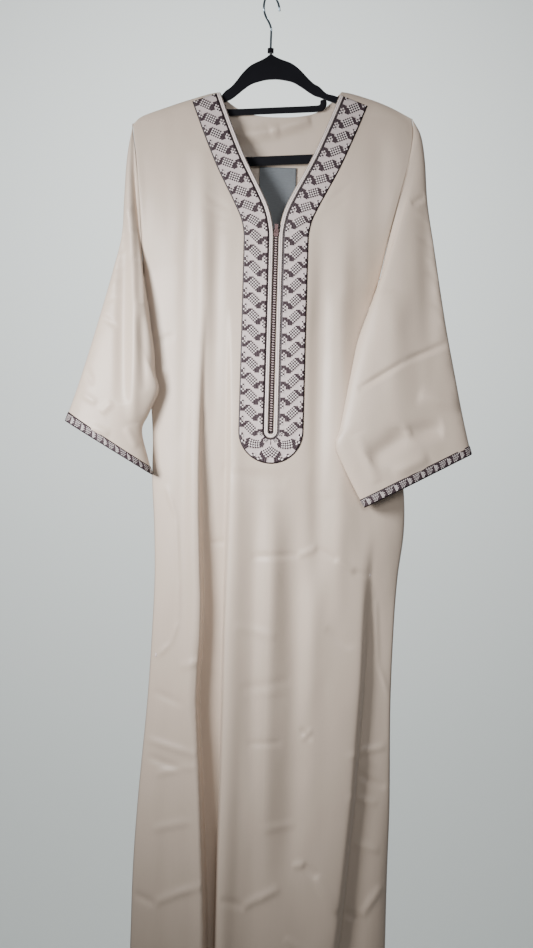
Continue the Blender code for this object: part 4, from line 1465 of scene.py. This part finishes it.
def make_stage():
    """A pale wall far behind and a pale floor below."""
    wall = Finish("studio wall", (0.60, 0.64, 0.63), 0.9)
    floor = Finish("studio floor", (0.62, 0.64, 0.63), 0.85)
    for name, material, turn, spot in (
            ("studio_wall", wall.material, Matrix.Rotation(math.radians(90.0), 4, "X"),
             Vector((0.0, WALL_BEHIND, FLOOR_BELOW + STAGE_HALF))),
            ("studio_floor", floor.material, Matrix.Identity(4),
             Vector((0.0, WALL_BEHIND - STAGE_HALF, FLOOR_BELOW)))):
        mesh = bmesh.new()
        bmesh.ops.create_grid(mesh, x_segments=1, y_segments=1, size=STAGE_HALF)
        bmesh.ops.transform(mesh, matrix=Matrix.Translation(spot) @ turn, verts=mesh.verts)
        data = bpy.data.meshes.new(name)
        mesh.to_mesh(data)
        mesh.free()
        data.materials.append(material)
        made = bpy.data.objects.new(name, data)
        bpy.context.collection.objects.link(made)


def area_light(name, spot, aim, size, power, spread):
    data = bpy.data.lights.new(name, "AREA")
    data.spread = math.radians(spread)
    data.shape = "RECTANGLE"
    data.size = data.size_y = size
    data.energy = power
    made = bpy.data.objects.new(name, data)
    made.location = spot
    made.rotation_mode = "QUATERNION"
    made.rotation_quaternion = (Vector(aim) - Vector(spot)).to_track_quat("-Z", "Y")
    made.visible_camera = False
    bpy.context.collection.objects.link(made)


def make_lights():
    """A soft key on the left that fades towards the hem, a weak fill and two room lights."""
    for light in LIGHTS:
        area_light(*light)
    world = bpy.data.worlds.new("room")
    world.use_nodes = True
    ground = world.node_tree.nodes["Background"]
    ground.inputs["Color"].default_value = (0.90, 0.91, 0.92, 1.0)
    ground.inputs["Strength"].default_value = ROOM_LIGHT
    bpy.context.scene.world = world


def make_camera():
    data = bpy.data.cameras.new("camera")
    data.lens = CAMERA_LENS
    data.sensor_width = 36.0
    made = bpy.data.objects.new("camera", data)
    made.location = CAMERA_AT
    made.rotation_euler = (math.pi / 2.0, CAMERA_ROLL, 0.0)
    bpy.context.collection.objects.link(made)
    bpy.context.scene.camera = made


class ROBE_PT_panel(bpy.types.Panel):
    """The robe's steps and colours in the sidebar."""
    bl_label = "Thobe robe"
    bl_idname = "ROBE_PT_panel"
    bl_space_type = "VIEW_3D"
    bl_region_type = "UI"
    bl_category = "Robe"

    def draw(self, context):
        for step in STEPS:
            self.layout.operator(step.bl_idname)
        for name in RobeLook.__annotations__:
            self.layout.prop(context.scene.robe_look, name)


STEPS = (ROBE_OT_studio, ROBE_OT_cloth, ROBE_OT_sleeves, ROBE_OT_trim, ROBE_OT_zip,
         ROBE_OT_inside, ROBE_OT_hanger)
CLASSES = (RobeLook, *STEPS, ROBE_PT_panel)


def register():
    for each in CLASSES:
        bpy.utils.register_class(each)
    bpy.types.Scene.robe_look = PointerProperty(type=RobeLook)


def unregister():
    del bpy.types.Scene.robe_look
    for each in reversed(CLASSES):
        bpy.utils.unregister_class(each)


def main():
    register()
    bpy.ops.robe.studio()
    bpy.ops.robe.cloth()
    bpy.ops.robe.sleeves()
    bpy.ops.robe.trim()
    bpy.ops.robe.zip()
    bpy.ops.robe.inside()
    bpy.ops.robe.hanger()


if __name__ == "__main__":
    main()
